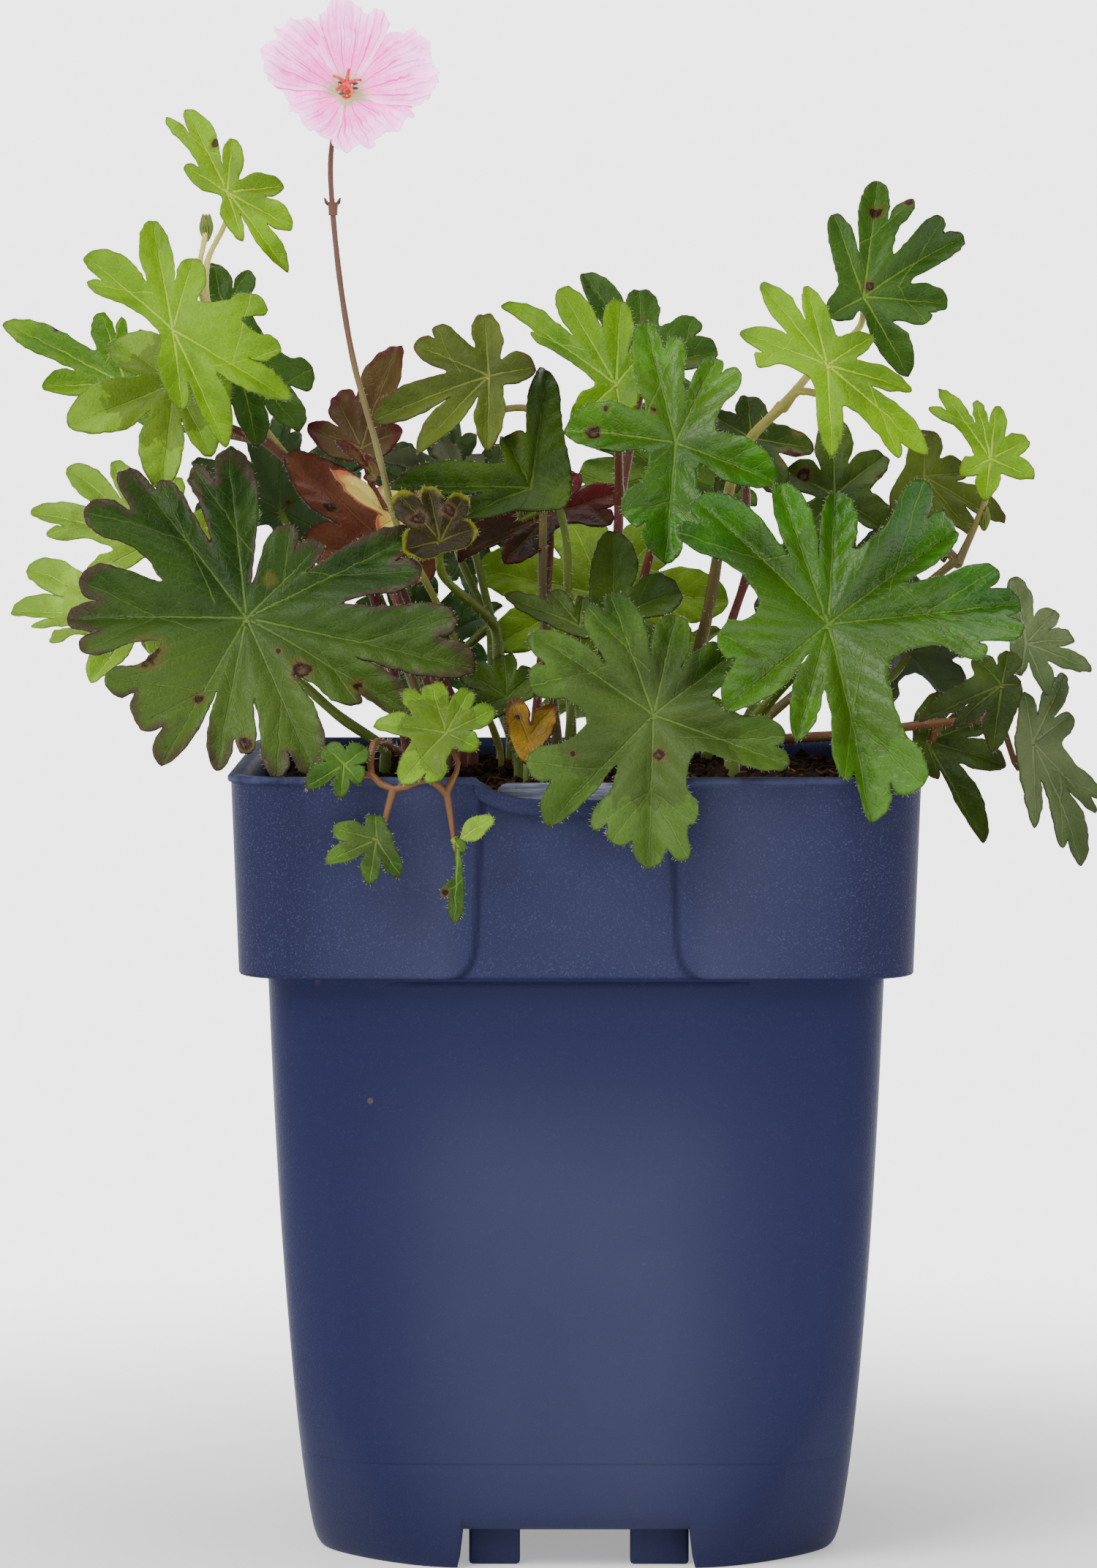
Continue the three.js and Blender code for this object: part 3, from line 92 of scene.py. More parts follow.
class Finish:
    # A material under construction: a Principled shader and short ways to feed it.
    def __init__(self, name, **constants):
        self.material = bpy.data.materials.new(name)
        self.material.use_nodes = True
        self.tree = self.material.node_tree
        self.shader = self.tree.nodes["Principled BSDF"]
        for key, value in constants.items():
            self.shader.inputs[key.replace("_", " ")].default_value = value

    def node(self, kind, settings=None, inputs=None, out=0):
        made = self.tree.nodes.new(kind)
        for key, value in (settings or {}).items():
            setattr(made, key, value)
        for key, value in (inputs or {}).items():
            slot = made.inputs[key]
            if isinstance(value, Value):
                self.tree.links.new(value.socket, slot)
            elif slot.type == "RGBA":
                slot.default_value = (*value, 1)
            else:
                slot.default_value = value
        return Value(self.tree, made.outputs[out])

    def place(self):
        return self.node("ShaderNodeTexCoord", out="Object")

    def axis(self, number):
        return self.node("ShaderNodeSeparateXYZ", None, {0: self.place()}, number)

    def attribute(self, name):
        return self.node("ShaderNodeAttribute", {"attribute_name": name}, out="Fac")

    def pair(self, uvMap):
        both = self.node("ShaderNodeUVMap", {"uv_map": uvMap})
        return [self.node("ShaderNodeSeparateXYZ", None, {0: both}, axis) for axis in (0, 1)]

    def noise(self, scale, detail=2.0, roughness=0.55, vector=None):
        inputs = {"Vector": vector or self.place(), "Scale": scale, "Detail": detail, "Roughness": roughness}
        return self.node("ShaderNodeTexNoise", None, inputs, "Fac")

    def cells(self, scale, feature="F1", out="Distance"):
        inputs = {"Vector": self.place(), "Scale": scale}
        return self.node("ShaderNodeTexVoronoi", {"feature": feature}, inputs, out)

    def step(self, value, low, high):
        inputs = {"Value": value, "From Min": low, "From Max": high}
        return self.node("ShaderNodeMapRange", {"interpolation_type": "SMOOTHSTEP"}, inputs)

    def mix(self, factor, first, second):
        settings = {"data_type": "RGBA"}
        return self.node("ShaderNodeMix", settings, {0: factor, 6: first, 7: second}, 2)

    def feed(self, name, value):
        self.tree.links.new(value.socket, self.shader.inputs[name])

    def bump(self, height, distance, strength=1.0):
        self.feed("Normal", self.node("ShaderNodeBump", None, {
            "Strength": strength, "Distance": distance, "Height": height}))


def rgb(red, green, blue):
    # A display colour, 0 to 255, as the linear values that a shader takes.
    shares = (red / 255, green / 255, blue / 255)
    return tuple(s / 12.92 if s <= 0.04 else ((s + 0.055) / 1.055) ** 2.4 for s in shares)


def unit(vector):
    vector = np.asarray(vector, float)
    return vector / np.linalg.norm(vector)


def placed(x, z, y):
    # A spot of the front view, moved to depth y along its line of sight.
    scale = (layout["distance"] + y) / layout["distance"]
    return np.array((x * scale, y, layout["height"] + (z - layout["height"]) * scale))


def curveThrough(points, spacing, closed=False):
    # A centripetal Catmull-Rom line, sampled about every spacing millimetres.
    knots = np.asarray(points, float)
    if closed:
        knots = np.vstack((knots[-1:], knots, knots[:2]))
    else:
        knots = np.vstack((2 * knots[0] - knots[1], knots, 2 * knots[-1] - knots[-2]))
    line = []
    for a, b, c, d in zip(knots, knots[1:], knots[2:], knots[3:]):
        before, here, after = (max(np.linalg.norm(q - p) ** 0.5, 1e-3) for p, q in ((a, b), (b, c), (c, d)))
        leave = ((b - a) / before - (c - a) / (before + here) + (c - b) / here) * here
        arrive = ((c - b) / here - (d - b) / (here + after) + (d - c) / after) * here
        count = max(2, round(here * here / spacing))
        for t in np.arange(count) / count:
            line.append(b + leave * t + (3 * (c - b) - 2 * leave - arrive) * t * t
                        + (2 * (b - c) + leave + arrive) * t ** 3)
    if not closed:
        line.append(knots[-2])
    return np.array(line)


def softStep(value, low, high):
    t = np.clip((value - low) / (high - low), 0, 1)
    return t * t * (3 - 2 * t)


def ripple(points, length, seed, count=5):
    # A smooth random field, about -1 to 1, with waves of about the given length.
    dice = np.random.default_rng(seed)
    total = np.zeros(len(points))
    for _ in range(count):
        way = dice.normal(size=points.shape[1])
        way *= 2 * math.pi / length / np.linalg.norm(way) * dice.uniform(0.6, 1.5)
        total += np.sin(points @ way + dice.uniform(0, 2 * math.pi))
    return total / count ** 0.5 / 1.2


def nearest(points, starts, ends):
    # Each point's least distance to the segments, and which segment that is.
    run = ends - starts
    along = np.einsum("psk,sk->ps", points[:, None] - starts[None], run)
    along /= np.maximum((run ** 2).sum(1), 1e-9)
    spots = starts[None] + np.clip(along, 0, 1)[..., None] * run[None]
    distance = np.linalg.norm(points[:, None] - spots, axis=2)
    return distance.min(1), distance.argmin(1)


def cutStrips(bm, faces, axis, cell):
    # Cuts faces by parallel planes and gives the strips between them.
    levels = [v.co[axis] for f in faces for v in f.verts]
    level, high = min(levels) + cell, max(levels)
    normal = Vector((axis == 0, axis == 1, 0))
    strips = []
    while level < high and faces:
        geometry = {*faces, *(e for f in faces for e in f.edges), *(v for f in faces for v in f.verts)}
        made = bmesh.ops.bisect_plane(bm, geom=list(geometry), dist=1e-4,
                                      plane_co=normal * level, plane_no=normal)
        now = [g for g in made["geom"] if isinstance(g, bmesh.types.BMFace)]
        strips.append([f for f in now if f.calc_center_bounds()[axis] < level])
        faces = [f for f in now if f.calc_center_bounds()[axis] >= level]
        level += cell
    return [*strips, faces]


def flatSheet(name, outline, cell):
    # One flat face inside the outline, cut into cells; its sizes are millimetres until it is shaped.
    bm = bmesh.new()
    face = bm.faces.new([bm.verts.new((x, y, 0)) for x, y in outline])
    for strip in cutStrips(bm, [face], 0, cell):
        if strip:
            cutStrips(bm, strip, 1, cell)
    bmesh.ops.remove_doubles(bm, verts=bm.verts[:], dist=0.04)
    mesh = bpy.data.meshes.new(name)
    bm.to_mesh(mesh)
    bm.free()
    return mesh


def pointsOf(mesh):
    flat = np.empty(len(mesh.vertices) * 3, np.float32)
    mesh.vertices.foreach_get("co", flat)
    return flat.reshape(-1, 3).astype(float)


def cornersOf(mesh):
    # For each face corner, its vertex and its face; for each face, the mean of its corners.
    vertex = np.empty(len(mesh.loops), np.int32)
    mesh.loops.foreach_get("vertex_index", vertex)
    sizes = np.empty(len(mesh.polygons), np.int32)
    mesh.polygons.foreach_get("loop_total", sizes)
    face = np.repeat(np.arange(len(sizes)), sizes)
    centres = np.zeros((len(sizes), 3))
    np.add.at(centres, face, pointsOf(mesh)[vertex])
    return vertex, face, centres / sizes[:, None]


def writeUv(mesh, name, pairs):
    layer = mesh.uv_layers.new(name=name)
    layer.data.foreach_set("uv", np.asarray(pairs, np.float32).ravel())


def writeValues(mesh, name, values, domain="POINT"):
    layer = mesh.attributes.new(name, "FLOAT", domain)
    layer.data.foreach_set("value", np.asarray(values, np.float32))


def thicken(mesh, points, up, thickness):
    # Shapes the sheet, gives it a wall, and notes which faces look down.
    mesh.vertices.foreach_set("co", (points * mm).astype(np.float32).ravel())
    bm = bmesh.new()
    bm.from_mesh(mesh)
    up = Vector(up)
    for face in bm.faces:
        face.normal_update()
        if face.normal.dot(up) < 0:
            face.normal_flip()
    lower = bm.faces.layers.float.new("underside")
    grown = bmesh.ops.extrude_face_region(bm, geom=bm.faces[:], use_keep_orig=True)["geom"]
    fresh = [g for g in grown if isinstance(g, bmesh.types.BMVert)]
    bmesh.ops.translate(bm, verts=fresh, vec=-up * thickness * mm)
    under = [g for g in grown if isinstance(g, bmesh.types.BMFace)]
    for face in under:
        face[lower] = 1.0
    bmesh.ops.recalc_face_normals(bm, faces=bm.faces[:])
    for face in bm.faces:
        face.smooth = True
    bm.to_mesh(mesh)
    bm.free()


def newObject(name, mesh, *materials):
    made = bpy.data.objects.new(name, mesh)
    bpy.context.scene.collection.objects.link(made)
    for material in materials:
        mesh.materials.append(material)
    return made


def fromBmesh(name, bm, *materials, smooth=True):
    for face in bm.faces:
        face.smooth = smooth
    mesh = bpy.data.meshes.new(name)
    bm.to_mesh(mesh)
    bm.free()
    return newObject(name, mesh, *materials)


def joinedPiece(name, parts, slot, *nodes):
    # Joins the parts into one piece that stands for CAD nodes.
    piece = parts[0]
    if len(parts) > 1:
        with bpy.context.temp_override(active_object=piece, selected_editable_objects=parts):
            bpy.ops.object.join()
    piece.name = name
    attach(piece, "root")
    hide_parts(*nodes)


def raised(origin, flat, across, along, up, rise):
    # Flat places put into space, each lifted by its rise.
    return origin + flat[:, :1] * across + flat[:, 1:] * along + rise[:, None] * up


leafForm = {
    "thickness": 0.42,
    "cell": 0.85,          # size of the blade's mesh
    "largeReach": 32,      # leaves that reach this far have larger cells
    "largeCell": 1.0,
    "lobeSplit": 0.62,     # cuts deeper than this part two lobes
    "veinSplit": 0.5,      # where side veins leave a lobe's main vein
    "breadth": 1.16,       # how much fuller the lobes are than their plain widths
    "width": 3,
    "point": 0.3,
    "pointed": 0.45,       # how much a fully pointed lobe narrows at its tip
    "room": 0.46,          # share of the way to the next tip that half a lobe may take
    "leastDepth": 1.2,
    "taper": 2.5,          # how far back a lobe is widest, in half widths
    "taperDepth": 0.62,    # and at most this share of its depth
    "clearance": 0.2,      # a lobe is made narrower until it stays clear of the line of its notch
    "narrowing": 0.84,
    "lobeEnd": [(1, 1), (0.4, 0.82), (0.09, 0.42)],   # back from the tip and out from the middle line
    "jitter": 0.12,
    "jitterLength": 2.6,
}

leafRelief = {
    "droop": 0.12,
    "fold": 0.6,
    "widestFold": 1.1,     # wider gaps between lobes fold no more than this angle
    "wave": 0.05,
    "ruffle": 0.06,
    "veinReach": 0.97,     # share of its way to the tip that a vein runs
    "veinWidth": 1.1,      # how soon the blade rises beside a vein
    "quilt": 0.52,         # rise of the blade between its veins
    "ribs": 0.7,
    "ribGap": 5.2,         # distance between small side veins
    "ribLean": 1.25,       # how far they run forward for each step outward
    "swell": (0.5, 17),    # height and length of the broad waves
    "edgeWave": (0.35, 6.5),
}

tooth = {"turn": 0.25, "reach": 0.8, "change": 0.06, "cut": 0.85, "lastCut": 0.6, "shallower": 1.2}


def toothed(leaf):
    # Gives each tip of a plainly drawn leaf a smaller tooth on both sides.
    x0, z0, _ = leaf["at"]
    tips = []
    for x, z, cut in leaf["tips"]:
        last = min(tooth["lastCut"], cut * tooth["shallower"])
        before, behind = (tooth["reach"] + tooth["change"] * math.sin(number) for number in (x, z))
        for turn, reach, after in ((tooth["turn"], before, tooth["cut"]), (0, 1, tooth["cut"]),
                                   (-tooth["turn"], behind, last)):
            dx, dz = (x - x0) * reach, (z - z0) * reach
            tips.append((x0 + dx * math.cos(turn) - dz * math.sin(turn),
                         z0 + dx * math.sin(turn) + dz * math.cos(turn), after))
    return {**leaf, "tips": tips}


def leafPlan(leaf):
    # The leaf in its own plane: tips counter-clockwise, lobes, outline and reach.
    up = unit(leaf["face"])
    across = unit((-up[1], up[0], 0))
    plan = {"up": up, "across": across, "along": np.cross(up, across), "joint": placed(*leaf["at"])}
    tips = np.array([onLeaf(leaf, plan, x, z) for x, z, _ in leaf["tips"]])
    cuts = [cut for _, _, cut in leaf["tips"]]
    after = np.roll(tips, -1, 0)
    if (tips[:, 0] * after[:, 1] - tips[:, 1] * after[:, 0]).sum() < 0:
        tips = tips[::-1]
        cuts = cuts[::-1]
        cuts = cuts[1:] + cuts[:1]
    count = len(tips)
    angles = np.arctan2(tips[:, 1], tips[:, 0])
    reach = np.linalg.norm(tips, axis=1)
    notches = []
    for i in range(count):
        j = (i + 1) % count
        angle = angles[i] + ((angles[j] - angles[i]) % (2 * math.pi)) / 2
        radius = cuts[i] * (reach[i] + reach[j]) / 2
        notches.append(radius * np.array((math.cos(angle), math.sin(angle))))
    first = next(i for i in range(count) if cuts[i - 1] < leafForm["lobeSplit"])
    lobes, members = [], []
    for step in range(count):
        i = (first + step) % count
        members.append(i)
        if cuts[i] < leafForm["lobeSplit"]:
            main = max(members, key=lambda j: reach[j])
            x, y = notches[members[0] - 1]
            lobes.append({"members": members, "main": main, "sides": [k for k in members if k != main],
                          "vein": tips[main], "angle": angles[main], "start": math.atan2(y, x)})
            members = []
    outline = []
    for lobe in lobes:
        for i in lobe["members"]:
            outline += tipOutline(leaf, lobe, tips, notches, i)
    return {**plan, "tips": tips, "lobes": lobes, "outline": outline, "reach": reach.max()}


def tipOutline(leaf, lobe, tips, notches, i):
    # The outline round tip i, from the notch before it to its other shoulder.
    root = np.zeros(2) if i == lobe["main"] else lobe["vein"] * leafForm["veinSplit"]
    axis = unit(tips[i] - root)
    normal = np.array((-axis[1], axis[0]))
    sharpness = leafForm["pointed"] * leaf.get("point", leafForm["point"])
    ends = []
    after = (i + 1) % len(tips)
    for side, notch, neighbour in ((-1, notches[i - 1], tips[i - 1]), (1, notches[i], tips[after])):
        width = min(leaf.get("breadth", leafForm["breadth"]) * leaf.get("width", leafForm["width"]),
                    leafForm["room"] * np.linalg.norm(tips[i] - neighbour))
        depth = max((tips[i] - notch) @ axis, leafForm["leastDepth"])
        taper = min(leafForm["taperDepth"] * depth, leafForm["taper"] * width)
        edge = unit(notch)
        for _ in range(12):
            spots = [tips[i] - back * taper * axis
                     + side * wide * width * normal * (1 - sharpness * (1 - back))
                     for back, wide in leafForm["lobeEnd"]]
            if side * (spots[0][0] * edge[1] - spots[0][1] * edge[0]) > leafForm["clearance"]:
                break
            width *= leafForm["narrowing"]
        ends.append(spots)
    return [notches[i - 1], *ends[0], tips[i], *reversed(ends[1])]


def onLeaf(leaf, plan, x, z):
    # A spot of the front view, as a place on the leaf's own plane.
    up = plan["up"]
    x0, z0, y0 = leaf["at"]
    scale = (layout["distance"] + y0) / layout["distance"]
    dx, dz = (x - x0) * scale, (z - z0) * scale
    offset = np.array((dx, -(up[0] * dx + up[2] * dz) / up[1], dz))
    return np.array((offset @ plan["across"], offset @ plan["along"]))


def sectorOf(angles, starts):
    # Which sector each angle lies in, and how far past its start.
    turns = (np.asarray(starts) - starts[0]) % (2 * math.pi)
    past = (angles - starts[0]) % (2 * math.pi)
    index = np.searchsorted(turns, past, side="right") - 1
    gaps = np.append(turns[1:], 2 * math.pi) - turns
    return index, past - turns[index], gaps[index]


def leafRise(leaf, plan, flat, seed):
    # Height over the leaf's plane: droop, folds along the veins, waves, and the quilting between veins.
    relief = leafRelief
    radius = np.linalg.norm(flat, axis=1)
    angle = np.arctan2(flat[:, 1], flat[:, 0])
    share = radius / plan["reach"]
    x0, z0, _ = leaf["at"]
    _, past, gap = sectorOf(angle, [lobe["angle"] for lobe in plan["lobes"]])
    fold = np.minimum(gap, relief["widestFold"]) / math.pi * np.sin(math.pi * past / gap)
    rise = (-leaf.get("droop", relief["droop"]) * plan["reach"] * share ** 2
            + leaf.get("fold", relief["fold"]) * radius * fold
            + relief["wave"] * plan["reach"] * share ** 2 * np.sin(3 * angle + x0)
            + relief["ruffle"] * radius * share * np.sin(7 * angle + z0))
    starts, ends = [], []
    for lobe in plan["lobes"]:
        starts.append(np.zeros(2))
        ends.append(lobe["vein"] * relief["veinReach"])
        for i in lobe["sides"]:
            starts.append(lobe["vein"] * leafForm["veinSplit"])
            ends.append(plan["tips"][i] * relief["veinReach"])
    distance, _ = nearest(flat, np.array(starts), np.array(ends))
    index, _, _ = sectorOf(angle, [lobe["start"] for lobe in plan["lobes"]])
    ways = np.array([unit(lobe["vein"]) for lobe in plan["lobes"]])[index]
    along = (flat * ways).sum(1)
    aside = np.abs(flat[:, 0] * ways[:, 1] - flat[:, 1] * ways[:, 0])
    ribs = 0.5 - 0.5 * np.cos(2 * math.pi * (along - relief["ribLean"] * aside) / relief["ribGap"])
    off = 1 - np.exp(-distance / relief["veinWidth"])
    quilt = leaf.get("quilt", 1) * relief["quilt"] * np.minimum(1, 0.25 + 1.5 * share)
    rise += quilt * off * (1 + relief["ribs"] * ribs)
    swell, swellLength = relief["swell"]
    wave, waveLength = relief["edgeWave"]
    rise += (swell * share * ripple(flat, swellLength, seed)
             + wave * share ** 3 * ripple(flat, waveLength, seed + 1))
    return rise


def writeVeins(mesh, leaf, plan, flat, seed):
    # UV maps along each lobe's main vein, along the side vein nearest to each face, and along the lobe.
    vertex, face, centres = cornersOf(mesh)
    lobes = plan["lobes"]
    index, _, _ = sectorOf(np.arctan2(centres[:, 1], centres[:, 0]), [lobe["start"] for lobe in lobes])
    ways = np.array([unit(lobe["vein"]) for lobe in lobes])[index][face]
    corner = flat[vertex]
    along = (corner * ways).sum(1)
    aside = corner[:, 1] * ways[:, 0] - corner[:, 0] * ways[:, 1]
    lengths = np.array([np.linalg.norm(lobe["vein"]) for lobe in lobes])[index][face]
    writeUv(mesh, "mainVein", np.stack((aside, along), 1))
    # The tone is random unless the leaf gives one; given tones are partly painted shade.
    toneAndShade = leaf.get("toneAndShade", random.Random(seed).uniform(0.1, 0.6))
    writeUv(mesh, "lobe", np.stack((along / lengths, np.full(len(along), toneAndShade)), 1))
    farOff = 50.0
    side = np.full((len(vertex), 2), farOff)
    for k, lobe in enumerate(lobes):
        mine = np.flatnonzero(index == k)
        if not lobe["sides"] or not len(mine):
            continue
        start = lobe["vein"] * leafForm["veinSplit"]
        ends = plan["tips"][lobe["sides"]]
        _, which = nearest(centres[mine, :2], np.tile(start, (len(ends), 1)), ends)
        chosen = np.zeros(len(centres), int)
        chosen[mine] = which
        here = index[face] == k
        way = (ends - start) / np.linalg.norm(ends - start, axis=1)[:, None]
        way = way[chosen[face[here]]]
        offset = corner[here] - start
        side[here] = np.stack((offset[:, 1] * way[:, 0] - offset[:, 0] * way[:, 1], (offset * way).sum(1)), 1)
    writeUv(mesh, "sideVein", side)


def leafBlade(leaf, material, seed):
    plan = leafPlan(leaf)
    outline = curveThrough(plan["outline"], 0.8, closed=True)
    jitter = [ripple(outline, leafForm["jitterLength"], seed + k) for k in (7, 8)]
    outline = outline + leafForm["jitter"] * np.stack(jitter, 1)
    cell = leafForm["cell"] if plan["reach"] < leafForm["largeReach"] else leafForm["largeCell"]
    mesh = flatSheet("blade", outline, cell)
    flat = pointsOf(mesh)[:, :2]
    writeVeins(mesh, leaf, plan, flat, seed)
    edge, _ = nearest(flat, outline, np.roll(outline, -1, 0))
    writeValues(mesh, "edgeDistance", edge)
    unmarked = np.full(len(flat), 9.0)
    marks = [np.linalg.norm(flat - onLeaf(leaf, plan, x, z), axis=1) / size
             for x, z, size in leaf.get("marks", [])]
    writeValues(mesh, "mark", np.min([unmarked, *marks], 0))
    fade = leaf.get("fade", 0)   # above zero the lower part takes the painted sheen, below zero the upper part; on the brown leaf it is a red tint
    down = -math.copysign(1, fade) * flat[:, 1] / plan["reach"]
    writeValues(mesh, "fade", softStep(down, -0.25, 0.45) * abs(fade))
    axes = (plan["across"], plan["along"], plan["up"])
    rise = leafRise(leaf, plan, flat, seed)
    halfWall = 0.2
    thicken(mesh, raised(plan["joint"], flat, *axes, rise + halfWall), plan["up"], leafForm["thickness"])
    edgeLine = raised(plan["joint"], outline, *axes, leafRise(leaf, plan, outline, seed))
    return newObject("blade", mesh, material), edgeLine, plan


stalkForm = {
    "radius": 0.95,
    "rooted": 1.25,        # a stalk that comes from the soil is this much thicker at its foot
    "branched": 1.05,
    "leafEnd": 0.72,
    "lift": 7,             # how far below its blade a stalk turns towards it
    "spacing": 2.2,
    "stem": {"radius": 0.8, "foot": 1.2, "top": 0.9},
    "foot": (0.35, 1.6),   # swelling at the foot: its share of the radius and its length in points
    "top": (0.25, 1.2),
    "uneven": 0.04,
}


def stemRoutes(node):
    # Every stalk of a leafy stem: its line, and its radius at each end.
    routes = []
    for leaf in node["leaves"]:
        stem = leaf["stem"]
        up = unit(leaf["face"])
        joint = placed(*leaf["at"])
        lift = stem.get("lift", stalkForm["lift"])
        radius = stem.get("radius", stalkForm["radius"])
        rooted = len(stem["from"]) == 2
        start = footRun(stem["from"]) if rooted else [placed(*stem["from"])]
        route = [*start, *(placed(*spot) for spot in stem.get("via", []))]
        route += [joint - lift * up - np.array((0, 0, 0.4 * lift)), joint + 0.15 * up]
        foot = radius * stalkForm["rooted" if rooted else "branched"]
        routes.append((curveThrough(route, stalkForm["spacing"]), foot, radius * stalkForm["leafEnd"]))
    plain = stalkForm["stem"]
    for stem in node.get("stems", []):
        route = footRun(stem["from"]) if "from" in stem else []
        route += [placed(*spot) for spot in stem["path"]]
        radius = stem.get("radius", plain["radius"])
        line = curveThrough(route, stalkForm["spacing"])
        routes.append((line, radius * plain["foot"], radius * plain["top"]))
    return routes


def footRun(spot):
    # A stalk's first points: in the soil, and upright where it leaves the ground.
    x, y = spot
    levels = (layout["soilTop"] - 4, layout["crown"] - 3, layout["crown"] - 1)
    return [np.array((x, y, level)) for level in levels]


def stalkMesh(name, routes, material, seed):
    # Round, slightly knobbly tubes through the routes.
    curve = bpy.data.curves.new(name, "CURVE")
    curve.dimensions = "3D"
    curve.bevel_depth = mm
    curve.bevel_resolution = 2
    curve.use_fill_caps = True
    dice = random.Random(seed)
    footSwell, footLength = stalkForm["foot"]
    topSwell, topLength = stalkForm["top"]
    for line, thick, thin in routes:
        spline = curve.splines.new("POLY")
        spline.points.add(len(line) - 1)
        phase = dice.uniform(0, 6)
        for i, spot in enumerate(line):
            share = i / (len(line) - 1)
            foot = footSwell * math.exp(-(share * len(line) / footLength) ** 2)
            knob = 1 + foot + stalkForm["uneven"] * math.sin(i * 1.3 + phase)
            swell = 1 + topSwell * math.exp(-((1 - share) * len(line) / topLength) ** 2)
            spline.points[i].co = (*(spot * mm), 1)
            spline.points[i].radius = (thick + (thin - thick) * share) * knob * swell
    tube = bpy.data.objects.new(name, curve)
    bpy.context.scene.collection.objects.link(tube)
    bpy.context.view_layer.update()
    mesh = bpy.data.meshes.new_from_object(tube.evaluated_get(bpy.context.evaluated_depsgraph_get()))
    bpy.data.objects.remove(tube)
    bpy.data.curves.remove(curve)
    for face in mesh.polygons:
        face.use_smooth = True
    mesh.materials.clear()
    return newObject(name, mesh, material)


# Each kind of hair: millimetres of line for one hair, length and root radius.
hairs = {"stem": (0.55, 1.5, 0.055), "edge": (0.9, 0.8, 0.04), "bloomTop": (0.5, 0.7, 0.055),
         "bloomFoot": (0.5, 1.0, 0.055)}


def addHair(bm, root, way, length, radius):
    turn = Vector(way).to_track_quat("Z", "Y").to_matrix().to_4x4()
    middle = Matrix.Translation((np.asarray(root) + np.asarray(way) * length * 0.46) * mm)
    bmesh.ops.create_cone(bm, cap_ends=True, segments=3, radius1=radius * mm, radius2=0,
                          depth=length * mm, matrix=middle @ turn)


def stemHairs(bm, routes, kind, seed):
    every, length, radius = hairs[kind]
    dice = np.random.default_rng(seed)
    for line, thick, thin in routes:
        run = np.diff(line, axis=0)
        lengths = np.linalg.norm(run, axis=1)
        for _ in range(int(lengths.sum() / every)):
            i = dice.choice(len(run), p=lengths / lengths.sum())
            share = (i + dice.random()) / len(run)
            spot = line[i] + run[i] * dice.random()
            if spot[2] < layout["crown"]:
                continue
            way = unit(np.cross(run[i], dice.normal(size=3)))
            way = unit(way + 0.25 * dice.normal(size=3) * (0.4, 0.4, 1))
            skin = (thick + (thin - thick) * share) * 0.9
            addHair(bm, spot + way * skin, way, length * dice.uniform(0.5, 1.15), radius)


def edgeHairs(bm, line, plan, seed):
    every, length, radius = hairs["edge"]
    dice = np.random.default_rng(seed)
    count = len(line)
    steps = np.linalg.norm(np.roll(line, -1, 0) - line, axis=1)
    for _ in range(int(steps.sum() / every)):
        i = dice.choice(count, p=steps / steps.sum())
        run = line[(i + 1) % count] - line[i]
        way = unit(np.cross(run, plan["up"]) + 0.35 * dice.normal(size=3) * np.linalg.norm(run))
        addHair(bm, line[i] + run * dice.random(), way, length * dice.uniform(0.5, 1.1), radius)


